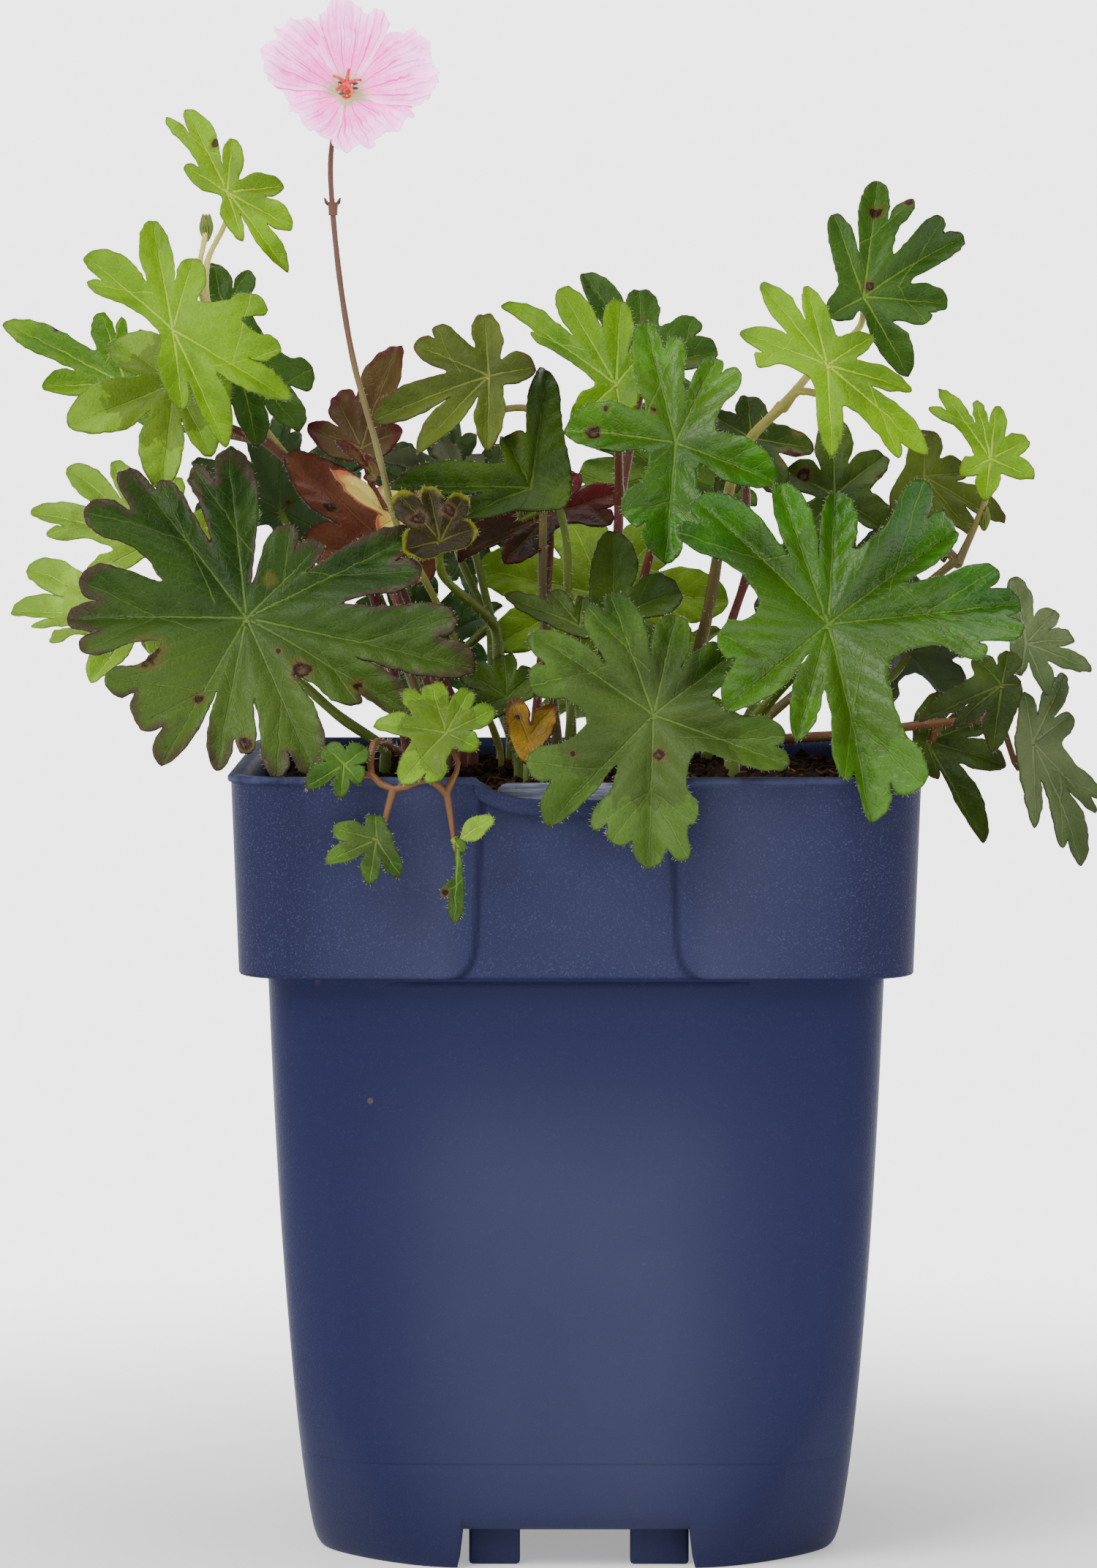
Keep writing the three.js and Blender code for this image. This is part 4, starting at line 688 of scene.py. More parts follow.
lookNames = ("deep", "light", "vein", "rim", "rimShare", "rimWidth", "spots", "roughness")
leafLooks = {
    "bright": ((79, 115, 4), (112, 156, 8), (158, 190, 52), (84, 86, 26), 0.35, 1.0, 0.04, 0.4),
    "lime": ((104, 139, 32), (134, 175, 44), (174, 206, 84), (88, 104, 34), 0.35, 0.8, 0.0, 0.42),
    "fresh": ((60, 98, 4), (94, 132, 8), (140, 174, 56), (60, 74, 22), 0.4, 0.9, 0.05, 0.37),
    "green": ((78, 112, 16), (112, 146, 34), (136, 168, 66), (56, 62, 21), 0.45, 0.8, 0.08, 0.4),
    "mid": ((39, 68, 12), (59, 92, 26), (102, 132, 46), (60, 58, 28), 0.5, 0.9, 0.12, 0.4),
    "glossy": ((29, 74, 2), (58, 110, 5), (108, 144, 44), (46, 60, 10), 0.4, 0.7, 0.04, 0.35),
    "matte": ((39, 66, 12), (74, 102, 33), (108, 134, 60), (52, 58, 30), 0.4, 0.8, 0.08, 0.44),
    "dark": ((21, 44, 5), (40, 64, 13), (88, 110, 48), (62, 44, 38), 0.78, 4.2, 0.05, 0.4),
    "deepGreen": ((34, 57, 8), (60, 83, 16), (78, 96, 34), (40, 30, 10), 0.6, 1.2, 0.12, 0.4),
    # The shade look is a darker green for leaves that lie in shade: painted shade.
    "shade": ((38, 58, 8), (64, 84, 20), (92, 110, 45), (54, 40, 18), 0.6, 1.2, 0.3, 0.45),
    "olive": ((58, 71, 15), (86, 101, 31), (108, 118, 52), (67, 48, 25), 0.6, 1.3, 0.14, 0.45),
    "turning": ((18, 12, 3), (38, 30, 7), (84, 84, 22), (110, 112, 14), 0.8, 1.8, 0.5, 0.42),
    "grey": ((56, 64, 36), (74, 82, 52), (100, 110, 79), (56, 44, 38), 0.6, 1.4, 0.08, 0.55),
    "maroon": ((82, 34, 23), (115, 74, 48), (130, 84, 56), (46, 12, 12), 0.6, 1.6, 0.1, 0.38),
    "bronze": ((74, 52, 29), (94, 79, 42), (108, 98, 52), (76, 24, 26), 0.85, 3.4, 0.18, 0.45),
    "brown": ((28, 18, 8), (56, 38, 14), (76, 62, 30), (70, 16, 20), 0.6, 2.2, 0.1, 0.42),
    "red": ((200, 168, 74), (222, 208, 112), (206, 190, 110), (180, 30, 56), 0.85, 2.6, 0.0, 0.4),
    "yellow": ((104, 78, 14), (146, 114, 24), (112, 92, 30), (60, 24, 10), 0.9, 2.4, 0.3, 0.4),
    "golden": ((140, 100, 10), (182, 140, 18), (150, 120, 40), (80, 34, 12), 0.8, 1.8, 0.2, 0.45),
    "trail": ((39, 56, 13), (71, 92, 30), (86, 102, 42), (58, 46, 14), 0.6, 1.4, 0.35, 0.42),
    "dusty": ((66, 84, 42), (98, 110, 72), (114, 126, 88), (58, 58, 36), 0.5, 1.0, 0.1, 0.46),
}
# Lighter colours painted as sheen and highlights on part of the dark, glossy and matte leaves, and the brown
# leaf's red tint.
sheenAndTintColours = {"glossy": (92, 134, 30), "matte": (80, 106, 42), "dark": (68, 90, 32), "brown": (112, 20, 34)}
quilting = {"glossy": 1.2, "matte": 1.3}
leafShine = {"glossBelow": 0.36, "glossy": 0.24, "plain": 0.12}


def leafMaterial(name, row):
    look = dict(zip(lookNames, row))
    glossy = look["roughness"] < leafShine["glossBelow"]
    finish = Finish("leaf " + name, Specular_IOR_Level=leafShine["glossy" if glossy else "plain"])
    aside, along = finish.pair("mainVein")
    sideAside, _ = finish.pair("sideVein")
    share, toneAndShade = finish.pair("lobe")
    edge = finish.attribute("edgeDistance")
    under = finish.attribute("underside")
    mark = finish.attribute("mark")
    soft = finish.noise(300, 3)
    broad = finish.noise(60, 2.5)
    grain = finish.noise(1500, 3, 0.7)
    wander = (soft - 0.5) * 1.3
    off = abs(aside + wander * share)
    held = share.clamped()
    main = 1 - finish.step(off / (0.32 - held * 0.22), 0.5, 1.4)
    side = 1 - finish.step(abs(sideAside + wander), 0.06, 0.26)
    phase = (along - off * leafRelief["ribLean"] + (soft - 0.5) * 3.4) / leafRelief["ribGap"]
    rib = 1 - finish.step(phase.maths("PINGPONG", 0.5) * leafRelief["ribGap"], 0.03, 0.22)
    net = 1 - finish.step(finish.cells(700, "DISTANCE_TO_EDGE"), 0.02, 0.16)
    dome = finish.cells(430)
    veins = (main + side * 0.7 + rib * 0.3 + net * 0.09).clamped()
    deep, light = rgb(*look["deep"]), rgb(*look["light"])
    darker = tuple(c * 0.55 for c in deep)
    colour = finish.mix(finish.step(broad + (grain - 0.5) * 0.25, 0.34, 0.66), deep, light)
    # Painted sheen: part of a dark, glossy or matte leaf lighter; the brown leaf takes a red tint there
    # instead.
    if name in sheenAndTintColours:
        colour = finish.mix(finish.attribute("fade"), colour, rgb(*sheenAndTintColours[name]))
    # Each leaf darker by its tone: a random amount, and for some leaves, such as the pale one at the back, a
    # given amount of painted shade.
    colour = finish.mix(toneAndShade * (0.9 - broad * 0.5), colour, darker)
    colour = finish.mix(veins * (0.66 - held * 0.34), colour, rgb(*look["vein"]))
    colour = finish.mix(under * (0.6 - veins * 0.25), colour, tuple(0.72 * c + 0.05 for c in light))
    reach = (finish.step(share + (soft - 0.5) * 0.5, 0.6, 1.0) * 0.88 + 0.12) * look["rimWidth"]
    rimMask = (1 - finish.step(edge + (broad - 0.5) * look["rimWidth"] * 0.8, 0.1, reach)) * look["rimShare"]
    colour = finish.mix(rimMask, colour, rgb(*look["rim"]))
    colour = finish.mix((1 - finish.step(edge, 0.0, 0.22)) * 0.4, colour, darker)
    if look["spots"] > 0:
        chance = finish.node("ShaderNodeSeparateColor", None, {0: finish.cells(80, out="Color")})
        there = finish.step(chance, 1 - look["spots"], 1.02 - look["spots"])
        distance = finish.cells(80) + (soft - 0.5) * 0.2
        colour = finish.mix((1 - finish.step(distance, 0.1, 0.2)) * there * 0.5, colour, rgb(93, 84, 34))
        colour = finish.mix((1 - finish.step(distance, 0.06, 0.1)) * there * 0.9, colour, rgb(46, 26, 12))
    torn = mark + (finish.noise(330, 3, 0.6) - 0.5) * 2.0
    colour = finish.mix((1 - finish.step(torn, 0.9, 1.6)) * 0.55, colour, rgb(84, 66, 36))
    colour = finish.mix(1 - finish.step(torn, 0.62, 0.95), colour, rgb(40, 20, 12))
    colour = finish.mix((1 - finish.step(torn, 0.1, 0.45)) * 0.5, colour, rgb(96, 76, 56))
    fine = finish.noise(2600, 2)
    colour = finish.mix(finish.step(fine, 0.46, 0.7) * 0.22, colour, darker)
    finish.feed("Base Color", colour)
    finish.feed("Roughness", (look["roughness"] + veins * 0.08 + under * 0.2 + (grain - 0.5) * 0.1).clamped())
    pits = dome * 0.12 * quilting.get(name, 1.0)
    height = soft * 0.35 + fine * 0.02 + grain * 0.05 - veins * 0.6 - net * 0.07 - pits
    finish.bump(height, 0.0004, 0.8)
    return finish.material


stalkLooks = {
    "green": {"low": (84, 100, 30), "high": (100, 120, 46), "flush": (96, 56, 38), "flushShare": 0.3},
    "pale": {"low": (84, 74, 36), "high": (196, 190, 96), "flush": (150, 110, 60), "flushShare": 0.2},
    "red": {"low": (96, 50, 40), "high": (104, 80, 48), "flush": (84, 26, 30), "flushShare": 0.6},
    "brown": {"low": (112, 114, 50), "high": (92, 60, 50), "flush": (84, 46, 40), "flushShare": 0.25},
    "runner": {"low": (104, 70, 40), "high": (120, 92, 50), "flush": (92, 46, 24), "flushShare": 0.4},
}


def stalkMaterial(name, look):
    finish = Finish("stalk " + name, Roughness=0.45, Specular_IOR_Level=0.25)
    patch = finish.noise(95, 2.5)
    grain = finish.noise(1500, 3)
    low, high = rgb(*look["low"]), rgb(*look["high"])
    colour = finish.mix(finish.step(finish.axis(2) + (patch - 0.5) * 0.03, 0.2, 0.265), low, high)
    colour = finish.mix(finish.step(patch, 0.5, 0.72) * look["flushShare"], colour, rgb(*look["flush"]))
    colour = finish.mix((grain - 0.35) * 0.5, colour, tuple(0.55 * c for c in low))
    finish.feed("Base Color", colour)
    finish.bump(grain * 0.6 + patch * 0.4, 0.00025, 0.8)
    return finish.material


def hairMaterial():
    finish = Finish("fine hair", Roughness=0.5, Specular_IOR_Level=0.3)
    finish.feed("Base Color", finish.mix(finish.noise(600, 1), rgb(168, 170, 146), rgb(200, 200, 184)))
    return finish.material


pot = {
    "height": 162.4, "collarBottom": 121.7, "rimHalf": 70.3, "collarTopHalf": 69.6, "collarBottomHalf": 68.2,
    "lip": 1.5, "floorBottom": 8,
    "fieldHalfTop": 19.2, "fieldHalfBottom": 21, "fieldDepth": 1.1, "fieldCorner": 6.3,
    "notchHalf": 23.5, "notchHeight": 8, "scoopHalf": 20.2, "scoopDip": 4.6, "scoopFoot": 140,
    "seam": 21.8, "seamCut": [(-0.45, 0), (-0.12, 0.14), (0.12, 0.14), (0.45, 0)],
    "closeRings": 0.72,   # distance between the collar's rings
    "closeStops": 27.85,  # the middle of each side, out to here, has its points close together
    "softClip": 1.6,
    "unclipped": 200,     # a circle too wide to take any corner off
    # level, half width, corner and clip: up the outside, and down the inside
    "body": [(0, 53.9, 9, 60.4), (3, 54.9, 9, 61.8), (13, 56.2, 9, 66), (22, 57, 9, 69.8), (37, 58, 9.5, 76),
             (60, 59.6, 9.5, 80.5), (90, 61.2, 10, 86), (121.7, 62.5, 10, 92)],
    "inside": [(159.4, 66.9, 10.5, 200), (150, 66.4, 10.4, 200), (140, 66, 10.2, 200), (123.9, 65.3, 10, 200),
               (119.1, 60.9, 8.6, 200), (90, 59.5, 8.3, 200), (60, 58, 8, 79), (22, 55.4, 8, 68),
               (10, 54.3, 8, 62.5), (10, 40, 6, 48)],
    "bar": {"low": (-20.7, -70.3, 158.9), "high": (20.7, -66.7, 162.3), "bevel": 1.1,
            "cuts": 26, "segments": 3},
    "barDip": 4.4,
    "tongue": {"low": (-16, -64.6, 146), "high": (16, -63.2, 161), "bevel": 0.4, "cuts": 31},
    "tongueCorner": 2.4,
    "shelf": {"low": (-15, -67.6, 147), "high": (15, -63.2, 149.5), "bevel": 0.4},
    "feet": [(-16.7, 5.2), (17, 6)],   # middle and half length of each foot along a side
    "footDepth": (-49, -44), "footHeight": 9, "footBevel": 0.7,
    "middleFoot": {"radius": 9, "height": 9, "bevel": 0.6},
}


def sideStops():
    # Places along one side, as (kind, number): millimetres near the middle, then shares out to the corner.
    near = [0, 4, 8, 12, 15, 17, *np.arange(18, 28.4, 0.65)]
    half = [("near", x) for x in near] + [("far", s) for s in (0.12, 0.28, 0.46, 0.64, 0.8, 0.92)]
    turn = [("turn", a) for a in np.linspace(0, 1, 9)[:-1]]
    return [(kind, -x) for kind, x in reversed(half[1:])] + half + turn


potStops = sideStops()


def sectionRing(half, corner, clip):
    # The points of a rounded square that a circle takes the corners off.
    flat = half - corner
    points = []
    for kind, number in potStops:
        if kind == "near":
            points.append((number, -half))
        elif kind == "far":
            x = pot["closeStops"] + (flat - pot["closeStops"]) * abs(number)
            points.append((math.copysign(x, number), -half))
        else:
            turn = -math.pi / 2 + number * math.pi / 2
            points.append((flat + corner * math.cos(turn), -flat + corner * math.sin(turn)))
    ring = np.array(points)
    reach = np.linalg.norm(ring, axis=1)
    soft = pot["softClip"]
    held = reach - soft * np.logaddexp(0, (reach - clip) / soft)
    ring *= (held / reach)[:, None]
    sides = [ring]
    for _ in range(3):
        ring = np.stack((-ring[:, 1], ring[:, 0]), 1)
        sides.append(ring)
    return np.vstack(sides)


def alongSide():
    # For each ring point, its place along its own side, in a ring as wide as the collar.
    x = sectionRing(69, 12, pot["unclipped"])[: len(potStops), 0]
    return np.tile(x, 4)


def fieldInside(aside, level):
    # How far each place lies inside the collar's sunken fields.
    low = pot["collarBottom"] - 0.4
    rise = (level - low) / (pot["height"] - low)
    half = pot["fieldHalfBottom"] + (pot["fieldHalfTop"] - pot["fieldHalfBottom"]) * rise
    inside = half - np.abs(aside)
    r = pot["fieldCorner"]
    if level < low + r:
        centre = pot["fieldHalfBottom"] + r
        curved = np.hypot(np.abs(aside) - centre, level - low - r) - r
        inside = np.where(np.abs(aside) < centre, curved, low - level)
    return inside


def potRings():
    # Rings from the middle of the underside, up the outside, over the rim and down the inside.
    # Each has its level, half width, corner and clip, and how far the sunken fields show in it.
    body = curveThrough([(level, half, clip) for level, half, _, clip in pot["body"]], 2.4)
    body = [row for row in body if row[0] <= pot["collarBottom"]]
    bodyLevels = [row[0] for row in body]
    drawnLevels, _, drawnCorners, _ = zip(*pot["body"])
    _, half, clip = body[0]
    under = pot["floorBottom"] + 0.6
    rings = [(under, half - 14, 8, clip - 14, 0), (under, half - 2.2, 9, clip - 2, 0),
             (0.0, half - 1.8, 9, clip - 1.8, 0), (0.0, half - 0.5, 9, clip - 0.5, 0),
             (0.4, half - 0.05, 9, clip - 0.1, 0)]
    outside = []
    for level, half, clip in body[1:]:
        outside.append((level, half, float(np.interp(level, drawnLevels, drawnCorners)), clip, 0))
    for shift, cut in pot["seamCut"]:
        level = pot["seam"] + shift
        half, clip = (float(np.interp(level, bodyLevels, [row[k] for row in body])) for k in (1, 2))
        outside.append((level, half - cut, float(np.interp(level, drawnLevels, drawnCorners)), clip - cut, 0))
    rings += sorted(outside, key=lambda ring: ring[0])
    low, top, rim, whole = pot["collarBottom"], pot["height"] - pot["lip"], pot["rimHalf"], pot["unclipped"]
    bottomHalf, topHalf = pot["collarBottomHalf"], pot["collarTopHalf"]
    rings += [(low, 62.5, 10, whole, 0), (low, 64.5, 11, whole, 0), (low, bottomHalf - 0.9, 12, whole, 1),
              (low + 0.25, bottomHalf - 0.25, 12, whole, 1)]
    for level in [*np.arange(low + 0.7, top, pot["closeRings"]), top]:
        rings.append((level, float(np.interp(level, (low, top), (bottomHalf, topHalf))), 12, whole, 1))
    rings += [(top + 0.12, rim - 0.2, 12.4, whole, 0.4), (top + 0.4, rim, 12.5, whole, 0),
              (pot["height"] - 0.35, rim, 12.5, whole, 0), (pot["height"], rim - 0.35, 12.3, whole, 0),
              (pot["height"], rim - 2.6, 11, whole, 0), (pot["height"] - 0.4, rim - 3.1, 10.6, whole, 0)]
    rings += [(*ring, 0) for ring in pot["inside"]]
    return rings


def potPoints():
    # The points of every ring, with fields, notches and scoop, and how near each lies to a field's edge.
    aside = alongSide()
    front = np.arange(len(aside)) < len(potStops)
    found, creases = [], []
    for level, half, corner, clip, field in potRings():
        ring = sectionRing(half, corner, clip)
        levels = np.full(len(ring), float(level))
        creases.append(np.zeros(len(ring)))
        if field:
            inside = fieldInside(aside, level)
            inset = pot["fieldDepth"] * softStep(inside, -0.35, 0.45) * field
            ring *= (1 - inset / np.abs(ring).max(1))[:, None]
            # How near each point lies to a field's edge: the amount of painted shadow in its groove.
            creases[-1] = np.exp(-((inside - 0.35) / 0.6) ** 2)
        span = pot["notchHeight"] + 3
        if level < span:
            lift = 1 - softStep(np.abs(ringAside(ring)), pot["notchHalf"] - 0.25, pot["notchHalf"] + 0.35)
            levels = levels + lift * pot["notchHeight"] * (span - level) / span
        if level > pot["scoopFoot"]:
            dip = np.where(np.abs(aside) < pot["scoopHalf"], 1 - (aside / pot["scoopHalf"]) ** 4, 0) * front
            levels = levels - dip * pot["scoopDip"] * float(softStep(level, pot["scoopFoot"], pot["height"]))
        found.append(np.column_stack((ring, levels)))
    return found, creases


def ringAside(ring):
    # Each point's place along the side that it belongs to.
    count = len(ring) // 4
    along = [ring[:count, 0], ring[count:2 * count, 1], -ring[2 * count:3 * count, 0], -ring[3 * count:, 1]]
    return np.concatenate(along)


def loftedPiece(name, rings, creases, material):
    # A tube grown ring by ring, with a face over each end and a value at each point.
    bm = bmesh.new()
    layer = bm.verts.layers.float.new("creaseShade")
    count = len(rings[0])
    made = bmesh.ops.create_circle(bm, segments=count, radius=1)
    verts = sorted(made["verts"], key=lambda v: v.index)
    for vert, spot in zip(verts, rings[0]):
        vert.co = spot * mm
    bm.faces.new(reversed(verts))
    edges = [bm.edges.get((verts[i], verts[(i + 1) % count])) for i in range(count)]
    for ring, values in zip(rings[1:], creases[1:]):
        grown = bmesh.ops.extrude_edge_only(bm, edges=edges)["geom"]
        fresh = {v for v in grown if isinstance(v, bmesh.types.BMVert)}
        after = []
        for vert in verts:
            after.append(next(e.other_vert(vert) for e in vert.link_edges if e.other_vert(vert) in fresh))
        verts = after
        edges = [bm.edges.get((verts[i], verts[(i + 1) % count])) for i in range(count)]
        for vert, spot, value in zip(verts, ring, values):
            vert.co = spot * mm
            vert[layer] = value
    bm.faces.new(verts)
    bmesh.ops.recalc_face_normals(bm, faces=bm.faces[:])
    return fromBmesh(name, bm, material)


def noDip(spot):
    return 0


def boxPiece(name, box, material, dip=noDip, turn=0):
    # A box with rounded edges, cut across X so that dip can bend it down, and turned about the pot's axis.
    bm = bmesh.new()
    bmesh.ops.create_cube(bm, size=1)
    low, high = np.array(box["low"], float), np.array(box["high"], float)
    for vert in bm.verts:
        vert.co = (low + high) / 2 + np.array(vert.co) * (high - low)
    bmesh.ops.bevel(bm, geom=bm.edges[:], offset=box["bevel"], offset_type="OFFSET", affect="EDGES",
                    segments=box.get("segments", 2), profile=0.5, material=-1)
    for level in np.linspace(low[0], high[0], box.get("cuts", 0) + 2)[1:-1]:
        bmesh.ops.bisect_plane(bm, geom=[*bm.verts, *bm.edges, *bm.faces], dist=1e-4,
                               plane_co=(level, 0, 0), plane_no=(1, 0, 0))
    for vert in bm.verts:
        vert.co.z -= dip(vert.co)
        vert.co *= mm
    bmesh.ops.rotate(bm, verts=bm.verts, matrix=Matrix.Rotation(turn, 3, "Z"))
    return fromBmesh(name, bm, material)


def potMaterial():
    finish = Finish("navy nursery pot", Specular_IOR_Level=0.07)
    x, y, z = (finish.axis(number) for number in range(3))
    speck = finish.noise(3000, 1.5, 0.6)
    cloud = finish.noise(22, 3)
    scuff = finish.noise(13, 4, 0.65)
    collar = finish.step(z, 0.1214, 0.1222)
    beside = finish.step(abs(x), 0.022, 0.028)
    colour = finish.mix(finish.step(cloud, 0.3, 0.7), rgb(43, 46, 73), rgb(47, 50, 75))
    # Painted shade: darker on the rounded corners, where the sides turn away from the light.
    ends = finish.step(abs(abs(x) - abs(y)), 0.012, 0.046)
    colour = finish.mix((1 - ends) * 0.8, colour, rgb(25, 28, 60))
    # Painted shadow: the body darker just below the overhanging collar.
    under = finish.step(z, 0.072, 0.114) * (1 - collar)
    colour = finish.mix(under * 0.8, colour, rgb(26, 29, 60))
    colour = finish.mix((1 - finish.step(z, 0.0, 0.02)) * 0.4, colour, rgb(28, 30, 58))
    rubbed = finish.step(scuff, 0.52, 0.7) * finish.step(z, 0.05, 0.075) * (1 - finish.step(z, 0.085, 0.118))
    colour = finish.mix(rubbed * 0.35, colour, rgb(60, 62, 88))
    colour = finish.mix(collar * (1 - beside) * 0.3, colour, rgb(28, 32, 64))
    colour = finish.mix(collar * beside * 0.16, colour, rgb(62, 62, 84))
    # Painted shade: the collar's corners darker, where they turn away from the light.
    turn = finish.step(abs(x).maths("MINIMUM", abs(y)), 0.049, 0.058)
    colour = finish.mix(collar * turn * 0.4, colour, rgb(20, 22, 48))
    dots = finish.step(speck, 0.55, 0.7)
    colour = finish.mix(dots * (0.06 + collar * 0.16), colour, rgb(92, 98, 126))
    # Painted shadow in the grooves round the collar's sunken fields.
    colour = finish.mix(finish.attribute("creaseShade") * 0.75, colour, rgb(18, 20, 46))
    worn = finish.step(z, 0.1602, 0.1618) * finish.step(finish.noise(160, 3), 0.35, 0.6)
    colour = finish.mix(worn * 0.3, colour, rgb(84, 92, 126))
    bits = (1 - finish.step(finish.cells(60), 0.03, 0.045)) * finish.step(finish.noise(28, 1), 0.58, 0.6)
    colour = finish.mix(bits * 0.7, colour, rgb(84, 66, 58))
    finish.feed("Base Color", colour)
    finish.feed("Roughness", (0.42 + cloud * 0.12 + collar * 0.06 - dots * 0.08).clamped())
    finish.bump(finish.noise(2600, 2) * 0.5 + finish.noise(700, 2) * 0.4 + dots * 0.2, 0.00022, 0.5)
    return finish.material


def tongueMaterial():
    finish = Finish("worn label holder", Roughness=0.55)
    scratch = finish.node("ShaderNodeMapping", None, {"Vector": finish.place(), "Scale": (60.0, 60.0, 900.0)})
    streak = finish.noise(1.6, 4, 0.6, scratch)
    colour = finish.mix(finish.step(streak, 0.38, 0.66), rgb(74, 78, 100), rgb(132, 136, 154))
    colour = finish.mix(finish.step(finish.noise(420, 3), 0.58, 0.7) * 0.6, colour, rgb(40, 34, 34))
    finish.feed("Base Color", colour)
    finish.bump(streak, 0.0003, 0.7)
    return finish.material


def barDip(spot):
    # The bar of the rim follows the scoop.
    share = min(1, abs(spot.x) / pot["bar"]["high"][0])
    return pot["barDip"] * (1 - share ** 4)


def tongueDip(spot):
    # Rounds the two upper corners of the tongue.
    corner = pot["tongueCorner"]
    over = max(0, abs(spot.x) - (pot["tongue"]["high"][0] - corner)) / corner
    return corner * (1 - (1 - min(1, over) ** 2) ** 0.5) * float(softStep(spot.z, 157, 160))


def middleFoot(material):
    size = pot["middleFoot"]
    bm = bmesh.new()
    bmesh.ops.create_cone(bm, cap_ends=True, segments=48, radius1=size["radius"] * mm,
                          radius2=size["radius"] * mm, depth=size["height"] * mm)
    bmesh.ops.bevel(bm, geom=bm.edges[:], offset=size["bevel"] * mm, offset_type="OFFSET", affect="EDGES",
                    segments=2, profile=0.5, material=-1)
    bmesh.ops.translate(bm, verts=bm.verts, vec=(0, 0, size["height"] / 2 * mm))
    return fromBmesh("middle foot", bm, material)


def buildPot():
    material = potMaterial()
    rings, creases = potPoints()
    parts = [loftedPiece("shell", rings, creases, material),
             boxPiece("bar", pot["bar"], material, barDip),
             boxPiece("tongue", pot["tongue"], tongueMaterial(), tongueDip),
             boxPiece("shelf", pot["shelf"], material)]
    back, front = pot["footDepth"]
    for side in range(4):
        for centre, half in pot["feet"]:
            foot = {"low": (centre - half, back, 0), "high": (centre + half, front, pot["footHeight"]),
                    "bevel": pot["footBevel"]}
            parts.append(boxPiece("foot", foot, material, turn=side * math.pi / 2))
    parts.append(middleFoot(material))
    joinedPiece("pot_shell", parts, "pot", "pot")


soil = {
    "half": 61.9, "corner": 9.8, "cell": 1.5, "edgeLevel": 156.4, "underLevel": 155.5,
    "crumbs": 900, "fibres": 260, "seed": 11,
    # level, half width, corner and clip of the block below the surface
    "block": [(157.6, 61.3, 9.8, 200), (124, 61.2, 9.6, 200), (118.4, 60.5, 8.2, 200), (60, 57.6, 7.6, 78.6),
              (22, 55, 7.6, 67.6), (10.4, 53.9, 7.6, 62)],
}


def soilLevel(points):
    # Height of the soil's surface at flat places.
    x, y = points[:, 0], points[:, 1]
    lump = 0.9 * np.sin(x * 0.21 + 1) * np.cos(y * 0.24) + 0.5 * np.sin(x * 0.09 - y * 0.13 + 2)
    crown = 1 - softStep(np.maximum(np.abs(x), np.abs(y)), 26, 60)
    level = layout["soilTop"] - 0.9 + crown * 1.2 + lump * 0.9
    return level + 0.7 * ripple(points, 5.5, 3) + 0.45 * ripple(points, 2.6, 4)


def soilMaterial(name, dark, light):
    finish = Finish(name, Roughness=0.95, Specular_IOR_Level=0.1)
    lump = finish.noise(420, 4, 0.7)
    grain = finish.cells(900)
    colour = finish.mix(finish.step(lump, 0.36, 0.66), rgb(*dark), rgb(*light))
    colour = finish.mix(finish.step(finish.noise(2300, 2), 0.62, 0.72) * 0.5, colour, rgb(84, 64, 42))
    finish.feed("Base Color", colour)
    finish.bump(lump + grain * 0.5, 0.0009, 0.9)
    return finish.material


def soilSheet(earth):
    # The lumpy surface, with a skirt and an underside that lie inside the block.
    mesh = flatSheet("soil top", sectionRing(soil["half"], soil["corner"], pot["unclipped"]), soil["cell"])
    flat = pointsOf(mesh)
    fade = softStep(soil["half"] - np.abs(flat[:, :2]).max(1), 0, 2.5)
    edge = soil["edgeLevel"]
    flat[:, 2] = edge + (soilLevel(flat[:, :2]) - edge) * (0.35 + 0.65 * fade)
    mesh.vertices.foreach_set("co", (flat * mm).astype(np.float32).ravel())
    bm = bmesh.new()
    bm.from_mesh(mesh)
    bpy.data.meshes.remove(mesh)
    skirt = bmesh.ops.extrude_edge_only(bm, edges=[e for e in bm.edges if e.is_boundary])["geom"]
    for vert in (v for v in skirt if isinstance(v, bmesh.types.BMVert)):
        vert.co.z = soil["underLevel"] * mm
    bmesh.ops.holes_fill(bm, edges=[e for e in bm.edges if e.is_boundary], sides=0)
    bmesh.ops.recalc_face_normals(bm, faces=bm.faces[:])
    return fromBmesh("soil top", bm, earth)


def soilCrumbs(dice, earth):
    crumbs = bmesh.new()
    reach = soil["half"] - 2
    spots = dice.uniform(-reach, reach, (soil["crumbs"], 2))
    for (x, y), z in zip(spots, soilLevel(spots)):
        size = dice.uniform(0.35, 1.0) ** 2 * 1.9 + 0.25
        made = bmesh.ops.create_icosphere(crumbs, subdivisions=1, radius=size * mm)["verts"]
        stretch = Matrix.Diagonal(dice.uniform(0.6, 1.25, 3)).to_4x4()
        spin = Matrix.Rotation(dice.uniform(0, 6), 4, "Z")
        seat = Matrix.Translation((x * mm, y * mm, (z + 0.3 * size) * mm))
        bmesh.ops.transform(crumbs, verts=made, matrix=seat @ stretch @ spin)
        for vert in made:
            vert.co += Vector(dice.normal(size=3)) * size * 0.13 * mm
    return fromBmesh("crumbs", crumbs, earth, smooth=False)


def soilFibres(dice, husk):
    lines = []
    reach, edge = soil["half"] - 6, soil["half"] - 1
    spots = dice.uniform(-reach, reach, (soil["fibres"], 2))
    for (x, y), z in zip(spots, soilLevel(spots)):
        way = dice.uniform(0, 2 * math.pi)
        length = dice.uniform(3, 9)
        bend = dice.normal(size=2) * 1.2
        step = np.array((math.cos(way), math.sin(way)))
        middle = np.array((x, y)) + step * length / 2 + bend
        end = np.clip(np.array((x, y)) + step * length, -edge, edge)
        line = [(x, y, z + 0.2), (*middle, z + dice.uniform(0.3, 1.6)), (*end, z + dice.uniform(-0.2, 1.2))]
        lines.append((curveThrough(line, 1.5), dice.uniform(0.1, 0.28), 0.08))
    return stalkMesh("fibres", lines, husk, 5)


